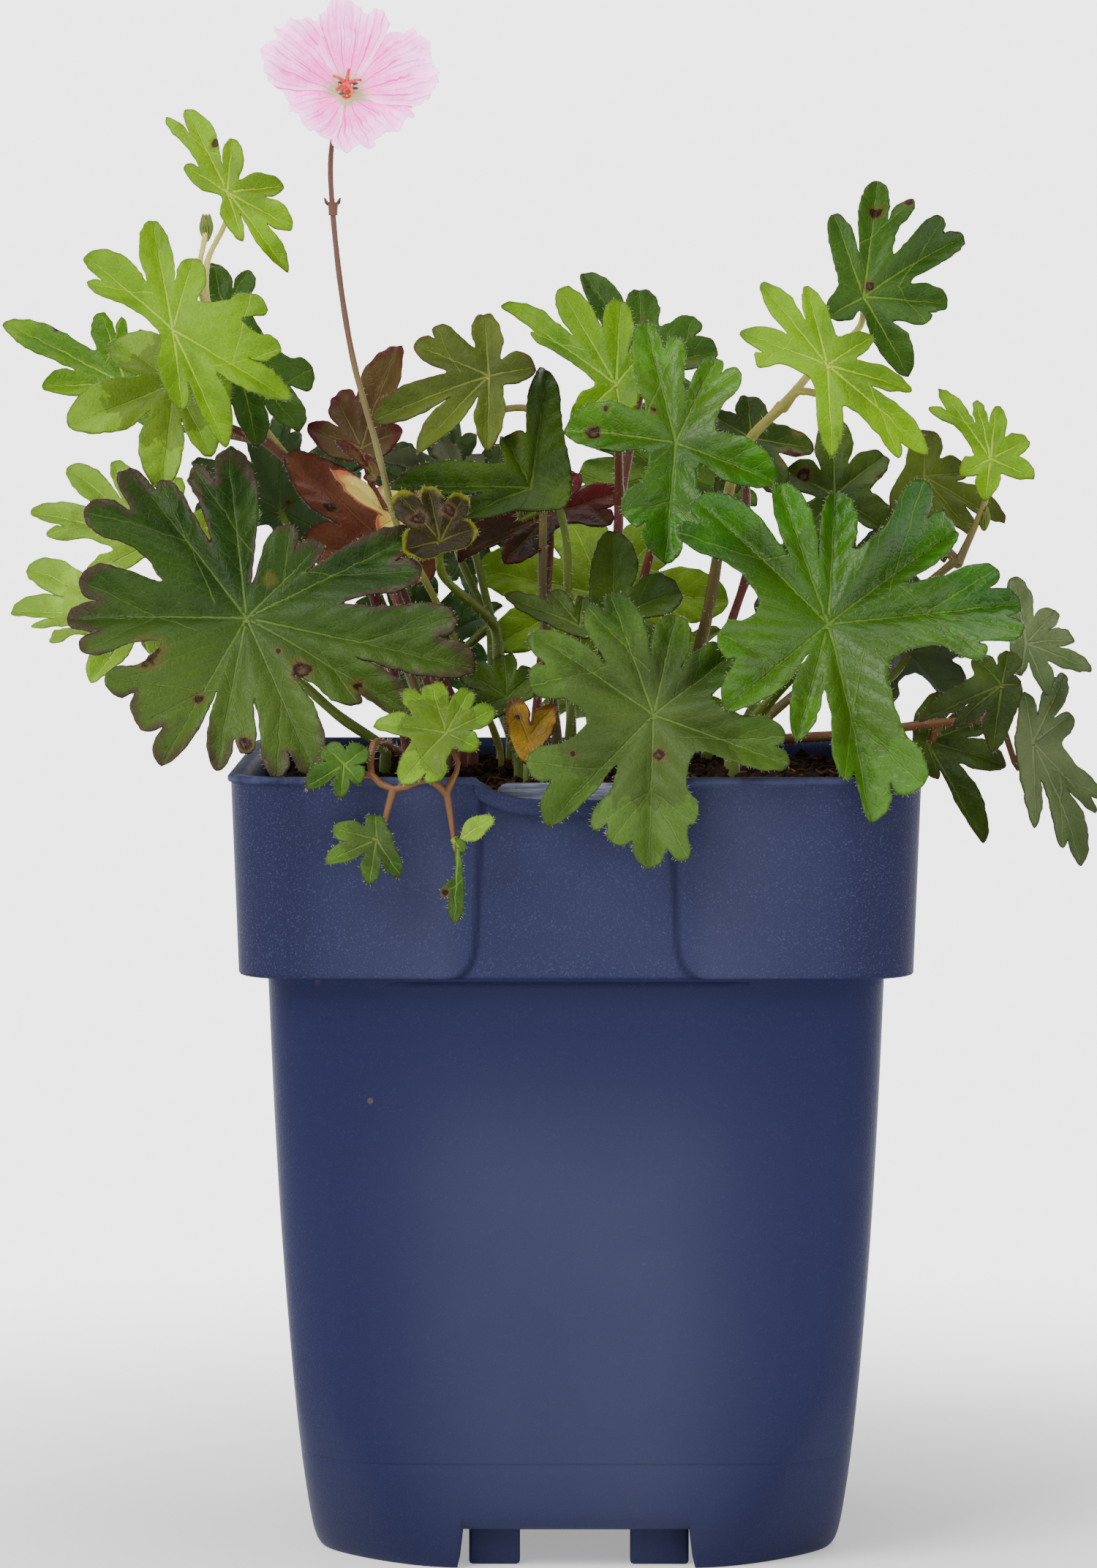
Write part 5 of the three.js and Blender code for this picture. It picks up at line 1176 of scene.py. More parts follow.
def buildSoil():
    earth = soilMaterial("peaty soil", (14, 8, 5), (47, 32, 20))
    husk = soilMaterial("fibre", (60, 38, 20), (104, 76, 44))
    rings = [(level, sectionRing(*sizes)) for level, *sizes in soil["block"]]
    block = [np.column_stack((ring, np.full(len(ring), level))) for level, ring in rings]
    dice = np.random.default_rng(soil["seed"])
    parts = [loftedPiece("soil block", block, np.zeros((len(block), len(block[0]))), earth), soilSheet(earth),
             soilCrumbs(dice, earth), soilFibres(dice, husk)]
    joinedPiece("soil_surface", parts, "soil", "soil")


flower = {
    "centre": (-48.1, 300.7, -26), "face": (0.05, -0.86, 0.5), "thickness": 0.3, "cell": 0.55,
    # turn of the middle line, length, half width, lift towards the viewer, and the outline
    "petals": [(88, 18.6, 8.4, 0.42, "peaked"), (15, 18.3, 9.8, 0.38, "broad"),
               (-57, 13.7, 9.8, 0.2, "broad"), (-146, 12.4, 8.2, 0.28, "broad"),
               (147, 18.2, 8.6, 0.4, "broad")],
    # shares of the length and of the half width, round the petal from its right shoulder
    "peaked": [(0.62, -0.95), (0.8, -0.98), (0.87, -0.72), (0.88, -0.36), (0.95, -0.12), (0.93, 0.06),
               (1.0, 0.3), (0.9, 0.46), (0.8, 0.74), (0.6, 0.96)],
    "broad": [(0.62, -0.95), (0.8, -0.92), (0.93, -0.6), (1.0, -0.28), (0.955, 0.02), (1.0, 0.32),
              (0.93, 0.66), (0.8, 0.92), (0.6, 0.98)],
    # half widths along the petal
    "widths": ((0, 0.2, 0.4, 0.62, 0.8, 1), (0.12, 0.34, 0.7, 0.98, 1.05, 1.1)),
    "fray": 0.55,
    "column": (0.4, 1.6, 3, 4.4),                     # heights
    "arm": [(0, 4.2), (1.2, 5), (2.3, 5.3), (3, 5)],  # reach and height
    "anther": {"radius": 0.42, "stretch": (1.5, 0.7, 0.7)},
    "cup": (3.6, 2.4, 1.0, 0.2),                      # depths below the petals
    "stalk": [(-50.8, 292, -24), (-51.4, 286, -22), (-51, 277, -21), (-49.2, 260, -22), (-46.5, 244.5, -24),
              (-42, 228, -25), (-39.8, 219, -25), (-38, 212, -25), (-27, 190, -18)],
    "stalkRadius": (0.52, 0.68, 0.85),                # at the bloom, halfway and at the foot
    "knot": (-51, 277, -21),
    "seat": (-16, -6), "seed": 40,
}


def flowerAxes():
    up = unit(flower["face"])
    across = unit((-up[1], up[0], 0))
    return placed(*flower["centre"]), up, across, np.cross(up, across)


def petalMaterial():
    # Light passes through the thin petals, which a low glow of their own colour stands for.
    finish = Finish("pale petal", Roughness=0.55, Specular_IOR_Level=0.2, Emission_Strength=1.6)
    fan, out = finish.pair("petal")
    edge = finish.attribute("edgeDistance")
    under = finish.attribute("underside")
    soft = finish.noise(330, 3)
    silk = finish.noise(1500, 2)
    lean = fan + (soft - 0.5) * 0.16
    trunk = (lean * 2.5 + 0.5).maths("PINGPONG", 0.5)
    fork = (lean * 5.5 + 0.25 + out * 0.3).maths("PINGPONG", 0.5)
    thread = (lean * 13 + soft * 1.2).maths("PINGPONG", 0.5)
    forked = finish.step(out, 0.25, 0.5) * (1 - finish.step(out, 0.8, 1.0))
    veins = (1 - finish.step(trunk, 0.018, 0.062)) * (1 - finish.step(out + soft * 0.3, 0.66, 0.98))
    veins = veins + (1 - finish.step(fork, 0.02, 0.12)) * forked * 0.5
    veins = veins + (1 - finish.step(thread, 0.02, 0.2)) * finish.step(out, 0.15, 0.4) * 0.16
    veins = veins.clamped() * (1 - under * 0.45)
    pale = finish.step(out + (soft - 0.5) * 1.1, 0.3, 0.95)
    colour = finish.mix(pale, (0.9, 0.24, 0.6), (0.95, 0.56, 0.86))
    glow = finish.mix(pale, (0.82, 0.02, 0.42), (1.0, 0.2, 0.72))
    rim = (1 - finish.step(edge + soft * 1.5, 0.2, 2.6)) * 0.6
    streak = finish.step(silk, 0.45, 0.75) * 0.35
    colour = finish.mix(rim, colour, (0.96, 0.8, 0.93))
    glow = finish.mix(rim + streak, glow, (1.1, 0.5, 0.95))
    low = 1 - finish.step(finish.axis(2), 0.286, 0.3)
    glow = finish.mix(low * 0.45, glow, (0.8, 0.03, 0.52))
    colour = finish.mix(veins * 0.9, colour, (0.72, 0.02, 0.36))
    glow = finish.mix(veins * 0.95, glow, (0.5, 0.0, 0.22))
    throat = 1 - finish.step(out + (soft - 0.5) * 0.12, 0.13, 0.3)
    colour = finish.mix(throat, colour, (0.56, 0.5, 0.3))
    glow = finish.mix(throat, glow, (0.14, 0.12, 0.06))
    finish.feed("Base Color", colour)
    finish.feed("Emission Color", glow)
    finish.bump(soft * 0.8 + silk * 0.25 - veins * 0.35, 0.0006, 0.8)
    return finish.material


def petalSheet(material, turn, length, half, lift, shape, seed):
    centre, up, across, along = flowerAxes()
    angle = math.radians(turn)
    out = across * math.cos(angle) + along * math.sin(angle)
    side = np.cross(up, out)
    shares = [(0.2, -0.34), (0.4, -0.68), *flower[shape], (0.4, 0.7), (0.2, 0.34)]
    outline = [(0.3, -1.1), *((x * length, y * half) for x, y in shares), (0.3, 1.1)]
    outline = curveThrough(outline, 0.5, closed=True)
    fray = flower["fray"] * softStep(outline[:, 0], 0.55 * length, 0.9 * length)[:, None]
    outline = outline + fray * np.stack((ripple(outline, 3.2, seed), ripple(outline, 2.6, seed + 1)), 1)
    mesh = flatSheet("petal", outline, flower["cell"])
    flat = pointsOf(mesh)[:, :2]
    vertex, _, _ = cornersOf(mesh)
    share = flat[:, 0] / length
    width = half * np.interp(share, *flower["widths"])
    writeUv(mesh, "petal", np.stack((flat[:, 1] / width, share), 1)[vertex])
    edge, _ = nearest(flat, outline, np.roll(outline, -1, 0))
    writeValues(mesh, "edgeDistance", edge)
    aside = flat[:, 1] / half
    rise = (lift * length * np.sin(1.4 * share) - 0.1 * half * aside ** 2
            + 0.05 * length * share * np.sin(5 * aside))
    fan = flat[:, 1] / np.maximum(width, 0.5)
    crinkle = np.stack((fan * 9, share * 2.2), 1)
    creases = 0.75 * ripple(crinkle, 3.4, seed + 2) + 0.4 * ripple(crinkle, 1.5, seed + 3)
    rise += softStep(share, 0.2, 1.0) * creases
    rise += 0.9 * softStep(share, 0.7, 1.0) * ripple(flat, 5.5, seed + 4)
    thicken(mesh, raised(centre, flat, out, side, up, rise), up, flower["thickness"])
    return newObject("petal", mesh, material)


def stigmaMaterial():
    finish = Finish("coral stigma", Roughness=0.45)
    colour = finish.mix(finish.step(finish.noise(900, 2), 0.4, 0.65), rgb(196, 44, 40), rgb(226, 92, 74))
    finish.feed("Base Color", colour)
    finish.bump(finish.noise(3000, 2), 0.0002, 0.6)
    return finish.material


def antherMaterial():
    finish = Finish("dark anther", Roughness=0.6)
    finish.feed("Base Color", finish.mix(finish.noise(1600, 1), rgb(40, 34, 62), rgb(84, 70, 110)))
    return finish.material


def star(turn, reach, height):
    # A place round the middle of the flower.
    centre, up, across, along = flowerAxes()
    angle = math.radians(turn)
    return centre + (across * math.cos(angle) + along * math.sin(angle)) * reach + up * height


def buildStamens():
    coral = stigmaMaterial()
    cream = stalkMaterial("throat", stalkLooks["pale"])
    column = [(np.array([star(0, 0, height) for height in flower["column"]]), 0.85, 0.5)]
    arms = []
    for i in range(5):
        line = [star(80 + 72 * i, reach, height) for reach, height in flower["arm"]]
        arms.append((curveThrough(line, 0.6), 0.42, 0.28))
    threads, tips = [], bmesh.new()
    anther = flower["anther"]
    dice = np.random.default_rng(flower["seed"])
    for i in range(10):
        high = dice.uniform(2.4, 3.8)
        bends = ((0.5, 0.8), (1.3, high * 0.6), (1.9, high))
        line = [star(20 + 36 * i, reach, height) for reach, height in bends]
        threads.append((curveThrough(line, 0.8), 0.22, 0.14))
        if i % 3 == 0:
            made = bmesh.ops.create_uvsphere(tips, u_segments=8, v_segments=5,
                                             radius=anther["radius"] * mm)["verts"]
            bmesh.ops.scale(tips, verts=made, vec=anther["stretch"])
            bmesh.ops.translate(tips, verts=made, vec=Vector(line[-1] * mm))
    parts = [stalkMesh("column", column, coral, 1), stalkMesh("arms", arms, coral, 2),
             stalkMesh("threads", threads, cream, 3), fromBmesh("anthers", tips, antherMaterial())]
    joinedPiece("stigma_and_stamens", parts, "stamen", "flower_stamens")


def buildFlower(hair):
    petal = petalMaterial()
    centre, up, _, _ = flowerAxes()
    sheets = [petalSheet(petal, *row, seed=flower["seed"] + 10 * i) for i, row in enumerate(flower["petals"])]
    joinedPiece("petals", sheets, "petal", "flower_petals")
    buildStamens()
    brown = stalkMaterial("flower", stalkLooks["brown"])
    top, middle, foot = flower["stalkRadius"]
    route = [centre - up * 0.4, centre - up * 2.4, *(placed(*spot) for spot in flower["stalk"])]
    line = curveThrough([*route, *reversed(footRun(flower["seat"]))], 2.0)
    cup = [(np.array([centre - up * depth for depth in flower["cup"]]), 1.2, 1.9)]
    sepals = []
    for i in range(5):
        base, end = (star(60 + 72 * i, reach, height) for reach, height in ((0.8, -2.6), (7.2, -1.6)))
        sepals.append(bractLeaf(base, unit(end - base), up, 7.6, 2.5, brown))
    knot = placed(*flower["knot"])
    bracts = []
    for side in (-1, 1):
        base = knot + np.array((0.4 * side, 0, 0.4))
        bracts.append(bractLeaf(base, unit((0.8 * side, -0.3, 0.9)), (side, -0.5, -0.6), 2.3, 0.6, brown))
    swelling = [(np.array([knot + np.array((0.1, 0, height)) for height in (-1.3, 0, 1.4)]), 0.7, 0.95)]
    fuzz = bmesh.new()
    half = len(line) // 2
    stemHairs(fuzz, [(line[:half], top, middle)], "bloomTop", 91)
    stemHairs(fuzz, [(line[half:], middle, foot)], "bloomFoot", 92)
    parts = [stalkMesh("stalk", [(line, top, foot)], brown, 7), stalkMesh("cup", cup, brown, 8),
             stalkMesh("knot", swelling, brown, 9), *sepals, *bracts, fromBmesh("fuzz", fuzz, hair)]
    joinedPiece("bloom_stalk", parts, "stalk", "flower_stalk")


def bractLeaf(base, way, up, length, half, material):
    # A small pointed scale, such as a sepal or a bract.
    up = unit(np.asarray(up, float) - np.dot(up, way) * np.asarray(way))
    side = np.cross(up, way)
    shape = [(0, -0.35), (0.3, -0.9), (0.55, -1), (0.8, -0.6), (1, 0), (0.8, 0.6), (0.55, 1), (0.3, 0.9),
             (0, 0.35)]
    outline = curveThrough([(x * length, y * half) for x, y in shape], 0.5, closed=True)
    mesh = flatSheet("scale", outline, max(0.5, half / 3))
    flat = pointsOf(mesh)[:, :2]
    rise = 0.35 * half * (flat[:, 1] / half) ** 2 - 0.08 * flat[:, 0] ** 2 / length
    thicken(mesh, raised(base, flat, way, side, up, rise), up, flower["thickness"])
    return newObject("scale", mesh, material)


# The leafy stems. A place is (x, z, y): x and z as seen from the front, and the depth y. A tip has the
# depth of the cut after it as its last number, and a mark its size. A foot in the soil is (x, y).
leafyStems = [
    {"name": "stem_upper_left", "finish": "bright", "stalk": "pale", "leaves": [
        {"at": (-73, 280.3, -12), "face": (0.1, -0.88, 0.42), "width": 2.6, "point": 0.6, "toneAndShade": 0,
         "tips": [(-82, 286.2, 0.5), (-86.2, 295.8, 0.72), (-82, 299, 0.35), (-72.3, 291.7, 0.3),
                  (-61.2, 282.2, 0.55), (-59.3, 273, 0.6), (-60, 265, 0.35), (-69.5, 270.5, 0.15)],
         "stem": {"from": (-77.5, 256, -24), "via": [(-77.2, 266, -14)], "radius": 0.7}},
        {"at": (-84.5, 251.7, -32), "face": (0.05, -0.9, 0.4), "width": 3.6, "point": 0.3, "toneAndShade": 0.4,
         "tips": [(-102.7, 262.5, 0.8), (-103.5, 269, 0.45), (-89.3, 275.2, 0.5), (-80.5, 267.2, 0.45),
                  (-68, 258.5, 0.7), (-61.7, 247.7, 0.65), (-59.7, 237.5, 0.5), (-73, 229.2, 0.55),
                  (-82, 235.5, 0.15)],
         "stem": {"from": (-77.5, 256, -24), "radius": 0.8}},
    ], "stems": [{"from": (-30, 4), "path": [(-45, 203, 17), (-57, 220.5, 16), (-67, 233, 12),
                  (-74, 248, -6), (-77.5, 257, -24)], "radius": 1},
                 {"path": [(-77.5, 256, -24), (-79, 263, -21), (-77.5, 272, -19)], "radius": 0.6}],
     "buds": [{"at": (-77.4, 272.6, -19), "size": 2.4}]},
    {"name": "stem_left", "finish": "green", "stalk": "red", "leaves": [
        {"at": (-94.3, 240.3, 6), "look": "fresh", "face": (-0.15, -0.85, 0.5), "width": 3, "point": 0.8,
         "toneAndShade": 0.1,
         "marks": [(-109, 251, 0.9)],
         "tips": [(-106, 233, 0.4), (-112.5, 240.5, 0.45), (-121, 253.3, 0.4), (-100.5, 256.2, 0.7),
                  (-95.5, 254, 0.4), (-84, 247, 0.4), (-86, 230, 0.2)],
         "stem": {"from": (-67, 229, 10)}},
        {"at": (-84.2, 240.3, -12), "face": (0.1, -0.86, 0.5), "width": 5.2, "point": 0.1, "toneAndShade": 0.1,
         "tips": [(-97, 250.5, 0.35), (-106, 231.5, 0.35), (-86, 219.5, 0.4), (-76, 226, 0.4),
                  (-72, 238, 0.25)],
         "stem": {"from": (-67, 229, 10), "via": [(-77, 233, 2)]}},
        {"at": (-71.5, 246.5, 2), "look": "mid", "face": (0.25, -0.85, 0.45), "width": 3.4,
         "tips": [(-76.3, 266.3, 0.72), (-69, 264.5, 0.4), (-55.7, 243.2, 0.7), (-57.5, 231, 0.6),
                  (-66, 228.5, 0.3)],
         "stem": {"from": (-67, 229, 10)}},
    ], "stems": [{"from": (-36, 14), "path": [(-46, 206, 14), (-58, 222, 12), (-67, 230, 10)],
                  "radius": 1.1}]},
    {"name": "stem_lower_left", "finish": "bright", "leaves": [
        {"at": (-88.5, 207, -2), "look": "lime", "face": (-0.1, -0.86, 0.5), "width": 3, "point": 0.4,
         "toneAndShade": 0.15,
         "tips": [(-103, 200.5, 0.45), (-111, 207.8, 0.75), (-115.2, 214.2, 0.5), (-108, 224.7, 0.5),
                  (-98, 224.5, 0.4), (-84, 221, 0.4), (-66, 213.8, 0.4), (-76, 195, 0.2)],
         "stem": {"from": (-60, 180, -2), "via": [(-72, 192, 4)]}},
        {"at": (-91, 191, -16), "look": "lime", "face": (-0.15, -0.84, 0.52), "width": 3, "point": 0.4,
         "toneAndShade": 0,
         "tips": [(-101.7, 178.5, 0.5), (-109.7, 184.5, 0.65), (-114.2, 188.7, 0.7), (-120.5, 194.8, 0.6),
                  (-117, 203.2, 0.4), (-101, 203, 0.35), (-82, 199, 0.3), (-82, 181, 0.2)],
         "stem": {"from": (-60, 180, -2)}},
    ], "stems": [{"from": (-40, -6), "path": [(-50, 171, -4), (-61, 181, -2)], "radius": 1.05}]},
    {"name": "leaf_large_left", "finish": "dark", "leaves": [
        {"at": (-69.2, 191.3, -44), "face": (-0.05, -0.9, 0.42), "width": 4.6, "point": 0, "droop": 0.08,
         "quilt": 1.3, "fade": 0.9,
         "marks": [(-89.5, 183, 3.2), (-57.6, 179.8, 2.3), (-79, 174.5, 1.3), (-68.6, 165.3, 1.6),
                   (-46, 178, 1.6), (-92.5, 166.5, 1.8), (-62, 184, 0.9)],
         "tips": [(-60, 209.8, 0.8), (-53.5, 206.7, 0.5), (-33.3, 209, 0.85), (-32.3, 200.3, 0.5),
                  (-25, 190.7, 0.88), (-21.2, 181.7, 0.55), (-33, 172.2, 0.8), (-45.5, 174, 0.5),
                  (-54, 159, 0.85), (-62, 158, 0.55), (-68, 163, 0.85), (-75, 160.5, 0.5),
                  (-86.5, 161.2, 0.85), (-91.3, 168.5, 0.88), (-98.2, 177.5, 0.55), (-103.2, 182.7, 0.85),
                  (-107.3, 192, 0.85), (-104.5, 198.7, 0.5), (-103.2, 210.2, 0.8), (-95.2, 223.8, 0.88),
                  (-88.2, 220.5, 0.5), (-81.2, 222.8, 0.85), (-74, 227.2, 0.25)],
         "stem": {"from": (-28, -22), "via": [(-44, 176, -30)], "radius": 1.3}},
    ]},
    {"name": "leaf_maroon", "finish": "maroon", "stalk": "red", "leaves": [
        {"at": (-38, 205, -1), "face": (0.1, -0.88, 0.42), "width": 5.4, "point": 0.5,
         "marks": [(-52, 214, 1.5)],
         "tips": [(-58, 206.5, 0.5), (-61, 226, 0.35), (-34, 219, 0.3), (-30, 200, 0.2)],
         "stem": {"from": (-24, 2)}},
    ]},
    {"name": "leaf_red_curled", "finish": "red", "stalk": "red", "leaves": [
        {"at": (-38.4, 211.8, -12), "face": (0.35, -0.7, 0.6), "width": 4.2, "toneAndShade": 0, "fold": 0.9,
         "tips": [(-41.6, 209.8, 0.25), (-51.2, 223, 0.3), (-42, 219.2, 0.3)],
         "stem": {"from": (-26, -10), "via": [(-36, 190, -12)], "radius": 0.8}},
        {"at": (-42.6, 221.2, -14), "look": "bronze", "face": (0.3, -0.8, 0.5), "width": 1.5, "toneAndShade": 0,
         "fold": 0.8,
         "tips": [(-44.6, 221, 0.2), (-50.2, 228.8, 0.3), (-44.4, 225.6, 0.3)],
         "stem": {"from": (-39.5, 213.5, -11), "radius": 0.5, "lift": 1}},
    ]},
    {"name": "leaf_bronze_upright", "finish": "bronze", "stalk": "red", "leaves": [
        {"at": (-45, 227, 6), "face": (-0.2, -0.86, 0.45), "width": 4, "point": 0.8,
         "tips": [(-56.5, 231.5, 0.5), (-51, 238.5, 0.55), (-38, 250.3, 0.35), (-36.5, 231, 0.3)],
         "stem": {"from": (-22, 12), "via": [(-36, 196, 10)]}},
    ]},
    {"name": "leaf_olive", "finish": "olive", "stalk": "pale", "leaves": [
        {"at": (-18.3, 242, -16), "face": (0, -0.86, 0.5), "width": 3.1,
         "marks": [(-33, 232, 1.3)],
         "tips": [(-33.2, 227.5, 0.4), (-42.7, 234.2, 0.4), (-34, 249, 0.85), (-29.5, 251.5, 0.45),
                  (-19.5, 255.3, 0.35), (-8.5, 244.2, 0.3), (-18.5, 227.2, 0.3)],
         "stem": {"from": (-4, 8), "via": [(-7, 196, 6), (-8.5, 234, 2)]}},
    ]},
    {"name": "leaf_grey", "finish": "grey", "leaves": [
        {"at": (-24, 219, 14), "face": (-0.2, -0.6, 0.8), "width": 2.7, "point": 0.8,
         "tips": [(-38, 220, 0.45), (-43, 227.5, 0.45), (-28.5, 228.2, 0.4), (-20, 226, 0.3)],
         "stem": {"from": (-12, 20)}},
    ]},
    {"name": "leaf_yellow_olive", "finish": "olive", "leaves": [
        {"at": (-28.5, 207.5, -44), "look": "turning", "face": (0, -0.85, 0.5), "width": 3.6,
         "marks": [(-33.5, 212, 1.8), (-27, 213.5, 1.4)],
         "tips": [(-36.5, 206, 0.5), (-38, 218, 0.6), (-31.5, 219.2, 0.6), (-23.5, 217.3, 0.6),
                  (-20.8, 210.5, 0.4)],
         "stem": {"from": (-12, -16), "via": [(-16.5, 184, -18), (-16.8, 189, -18)], "radius": 1.15}},
    ]},
    {"name": "leaf_folded", "finish": "dark", "leaves": [
        {"at": (-9.7, 218.5, -22), "look": "deepGreen", "face": (0.3, -0.82, 0.48), "width": 3.6,
         "fold": 1.2,
         "tips": [(-23.5, 213.5, 0.5), (-38, 220, 0.35), (-15.2, 229.5, 0.55), (-6.2, 243.8, 0.35)],
         "stem": {"from": (-1, -10), "via": [(-1.8, 197, -16), (-2.4, 209.5, -20), (-4.3, 215, -22)]}},
    ]},
    {"name": "leaf_brown", "finish": "bronze", "stalk": "red", "leaves": [
        {"at": (-5.5, 213, 12), "look": "brown", "face": (0, -0.8, 0.6), "width": 4.2, "fade": -0.8,
         "tips": [(-15.2, 203.5, 0.5), (-24.8, 206, 0.4), (-14, 216.5, 0.4), (0, 222, 0.45),
                  (9.5, 217.8, 0.7), (7, 210.5, 0.3)],
         "stem": {"from": (-9, 14)}},
    ]},
    {"name": "leaf_olive_small", "finish": "olive", "leaves": [
        {"at": (0.7, 189.5, -34), "look": "shade", "face": (0.1, -0.75, 0.65), "width": 2.4,
         "tips": [(-15, 196.5, 0.55), (-5.5, 197, 0.5), (1.5, 196, 0.3)],
         "stem": {"from": (-2, -26), "radius": 0.8}},
    ]},
    {"name": "leaf_centre_dark", "finish": "dark", "leaves": [
        {"at": (7.8, 191.5, -16), "look": "deepGreen", "face": (0.1, -0.85, 0.5), "width": 4.4,
         "tips": [(7.8, 209.8, 0.4), (22, 197.5, 0.4), (16, 184, 0.3)],
         "stem": {"from": (6, -14)}},
    ]},
    {"name": "leaf_pale_back", "finish": "bright", "leaves": [
        {"at": (6, 196, 28), "look": "lime", "face": (0.05, -0.85, 0.5), "width": 5.5, "toneAndShade": 0.8,
         "fold": 0.4,
         "tips": [(-18, 187, 0.5), (-21, 202, 0.5), (-2, 214, 0.5), (20, 212, 0.5), (32, 196, 0.5),
                  (26, 180, 0.4)],
         "stem": {"from": (4, 30), "radius": 1.1}},
    ]},
    {"name": "leaf_low_dark", "finish": "dark", "leaves": [
        {"at": (-14.5, 174.5, -40), "look": "deepGreen", "face": (0, -0.85, 0.5), "width": 3.4,
         "tips": [(-24, 172, 0.5), (-24.5, 181, 0.5), (-15.2, 184, 0.6), (-8.5, 180.3, 0.3)],
         "stem": {"from": (-12, -32), "radius": 0.8}},
    ]},
    {"name": "leaf_yellow_low", "finish": "yellow", "leaves": [
        {"at": (-10, 166, -50), "face": (0, -0.9, 0.4), "width": 3.2,
         "marks": [(-12.5, 170.5, 0.8), (-7.5, 168, 0.6)],
         "tips": [(-13.5, 174.5, 0.6), (-4.5, 173.5, 0.3)],
         "stem": {"from": (-10, -42), "radius": 0.8}},
    ]},
    {"name": "leaf_yellow_high", "finish": "yellow", "leaves": [
        {"at": (2.5, 178, -44), "look": "golden", "face": (0, -0.86, 0.5), "width": 2.4,
         "tips": [(-6, 183.5, 0.5), (-1.5, 186, 0.3)],
         "stem": {"from": (4, -42), "radius": 0.8}},
    ]},
    {"name": "stem_top_centre", "finish": "bright", "stalk": "red", "leaves": [
        {"at": (8.3, 240.2, -20), "look": "fresh", "face": (-0.05, -0.88, 0.45), "width": 3.3,
         "breadth": 1.0, "point": 0.5, "toneAndShade": 0.1,
         "tips": [(-9.7, 251.5, 0.85), (-16.2, 258.7, 0.5), (-3.7, 261.3, 0.55), (9.2, 258.5, 0.45),
                  (16, 250, 0.45), (10, 229, 0.35), (-1, 232, 0.25)],
         "stem": {"from": (9, 216, 2)}},
        {"at": (14, 243.7, 2), "look": "mid", "face": (0.1, -0.86, 0.5), "width": 3.3,
         "marks": [(13.6, 254, 0.8), (2.4, 260.7, 0.7)],
         "tips": [(1.7, 264.8, 0.55), (13.3, 261, 0.55), (24.2, 253.8, 0.8), (29.7, 247.5, 0.45),
                  (25, 234, 0.4), (4, 238, 0.3)],
         "stem": {"from": (9, 216, 2)}},
    ], "stems": [{"from": (6, 6), "path": [(8, 190, 6), (9, 217, 2)], "radius": 1.1}]},
    {"name": "leaf_glossy_dark", "finish": "green", "stalk": "red", "leaves": [
        {"at": (20.8, 228, -38), "look": "glossy", "face": (0, -0.9, 0.4), "width": 4.4, "point": 0.2,
         "fold": 0.8, "quilt": 1.4, "fade": -0.45,
         "marks": [(3.2, 230.4, 1.7), (16.2, 234, 0.9), (6.1, 234.1, 0.8)],
         "tips": [(-2.5, 232.2, 0.35), (14.5, 253.5, 0.8), (21, 249.5, 0.5), (29.5, 247, 0.85),
                  (34.2, 242.5, 0.4), (41.8, 220.5, 0.35), (26, 210.5, 0.85), (18.5, 203.8, 0.85),
                  (9.5, 212.5, 0.3)],
         "stem": {"from": (12, -6), "via": [(13, 194, -7)]}},
    ]},
    {"name": "stem_back_right", "finish": "dark", "stalk": "red", "leaves": [
        {"at": (36.5, 229, 10), "look": "shade", "face": (0.1, -0.82, 0.55), "width": 3.2,
         "marks": [(45, 224.5, 2.6)],
         "tips": [(28, 234, 0.4), (36, 238, 0.45), (49.8, 227, 0.5), (42.3, 217.5, 0.4), (30, 217, 0.3)],
         "stem": {"from": (36, 200, 14)}},
        {"at": (54, 217, 14), "look": "shade", "face": (0.1, -0.82, 0.55), "width": 3.6,
         "marks": [(47.6, 221, 1.7), (63.5, 220.5, 1.0)],
         "tips": [(44, 222.5, 0.4), (54, 233, 0.45), (65, 226, 0.5), (66, 210, 0.4), (54, 200, 0.4),
                  (44, 205, 0.3)],
         "stem": {"from": (36, 200, 14)}},
    ], "stems": [{"from": (22, 16), "path": [(30, 184, 16), (36, 201, 14)], "radius": 1}]},
    {"name": "stem_upper_right", "finish": "green", "stalk": "pale", "leaves": [
        {"at": (60, 258.5, -4), "look": "mid", "face": (0.05, -0.9, 0.42), "width": 3,
         "marks": [(63, 277, 1.5), (69.5, 277.5, 1.0), (61.3, 260.7, 1.2)],
         "tips": [(52.5, 254.5, 0.4), (54, 276.2, 0.4), (63.8, 284.5, 0.7), (70.7, 278, 0.45),
                  (77, 275.3, 0.88), (82, 273.8, 0.45), (77.8, 257.5, 0.85), (72.8, 252.2, 0.5),
                  (69.3, 242.7, 0.25)],
         "stem": {"from": (43, 235.5, -16), "via": [(50, 244, -10)]}},
        {"at": (52.5, 244.3, -26), "look": "bright", "face": (0, -0.9, 0.42), "width": 2.7,
         "breadth": 1.0, "point": 0.9, "toneAndShade": 0.2,
         "tips": [(37.7, 243.5, 0.78), (34.3, 252.2, 0.5), (38.7, 261.8, 0.5), (48.3, 261.7, 0.4),
                  (62.3, 250.8, 0.4), (70.2, 239.5, 0.45), (73.3, 226.8, 0.85), (67.2, 225.7, 0.45),
                  (53.2, 225.7, 0.3)],
         "stem": {"from": (43, 235.5, -16), "via": [(46.5, 239, -20)]}},
    ], "stems": [{"from": (20, 2), "path": [(27, 190, -2), (34.5, 226, -12), (43, 236, -16)],
                  "radius": 1.15}]},
    {"name": "stem_right", "finish": "bright", "stalk": "pale", "leaves": [
        {"at": (86.7, 224.7, -14), "face": (0, -0.86, 0.5), "width": 2.6, "breadth": 1.02, "point": 0.8,
         "toneAndShade": 0,
         "tips": [(74, 234.7, 0.75), (76.7, 240.8, 0.5), (84.2, 238.3, 0.6), (88.3, 236, 0.5),
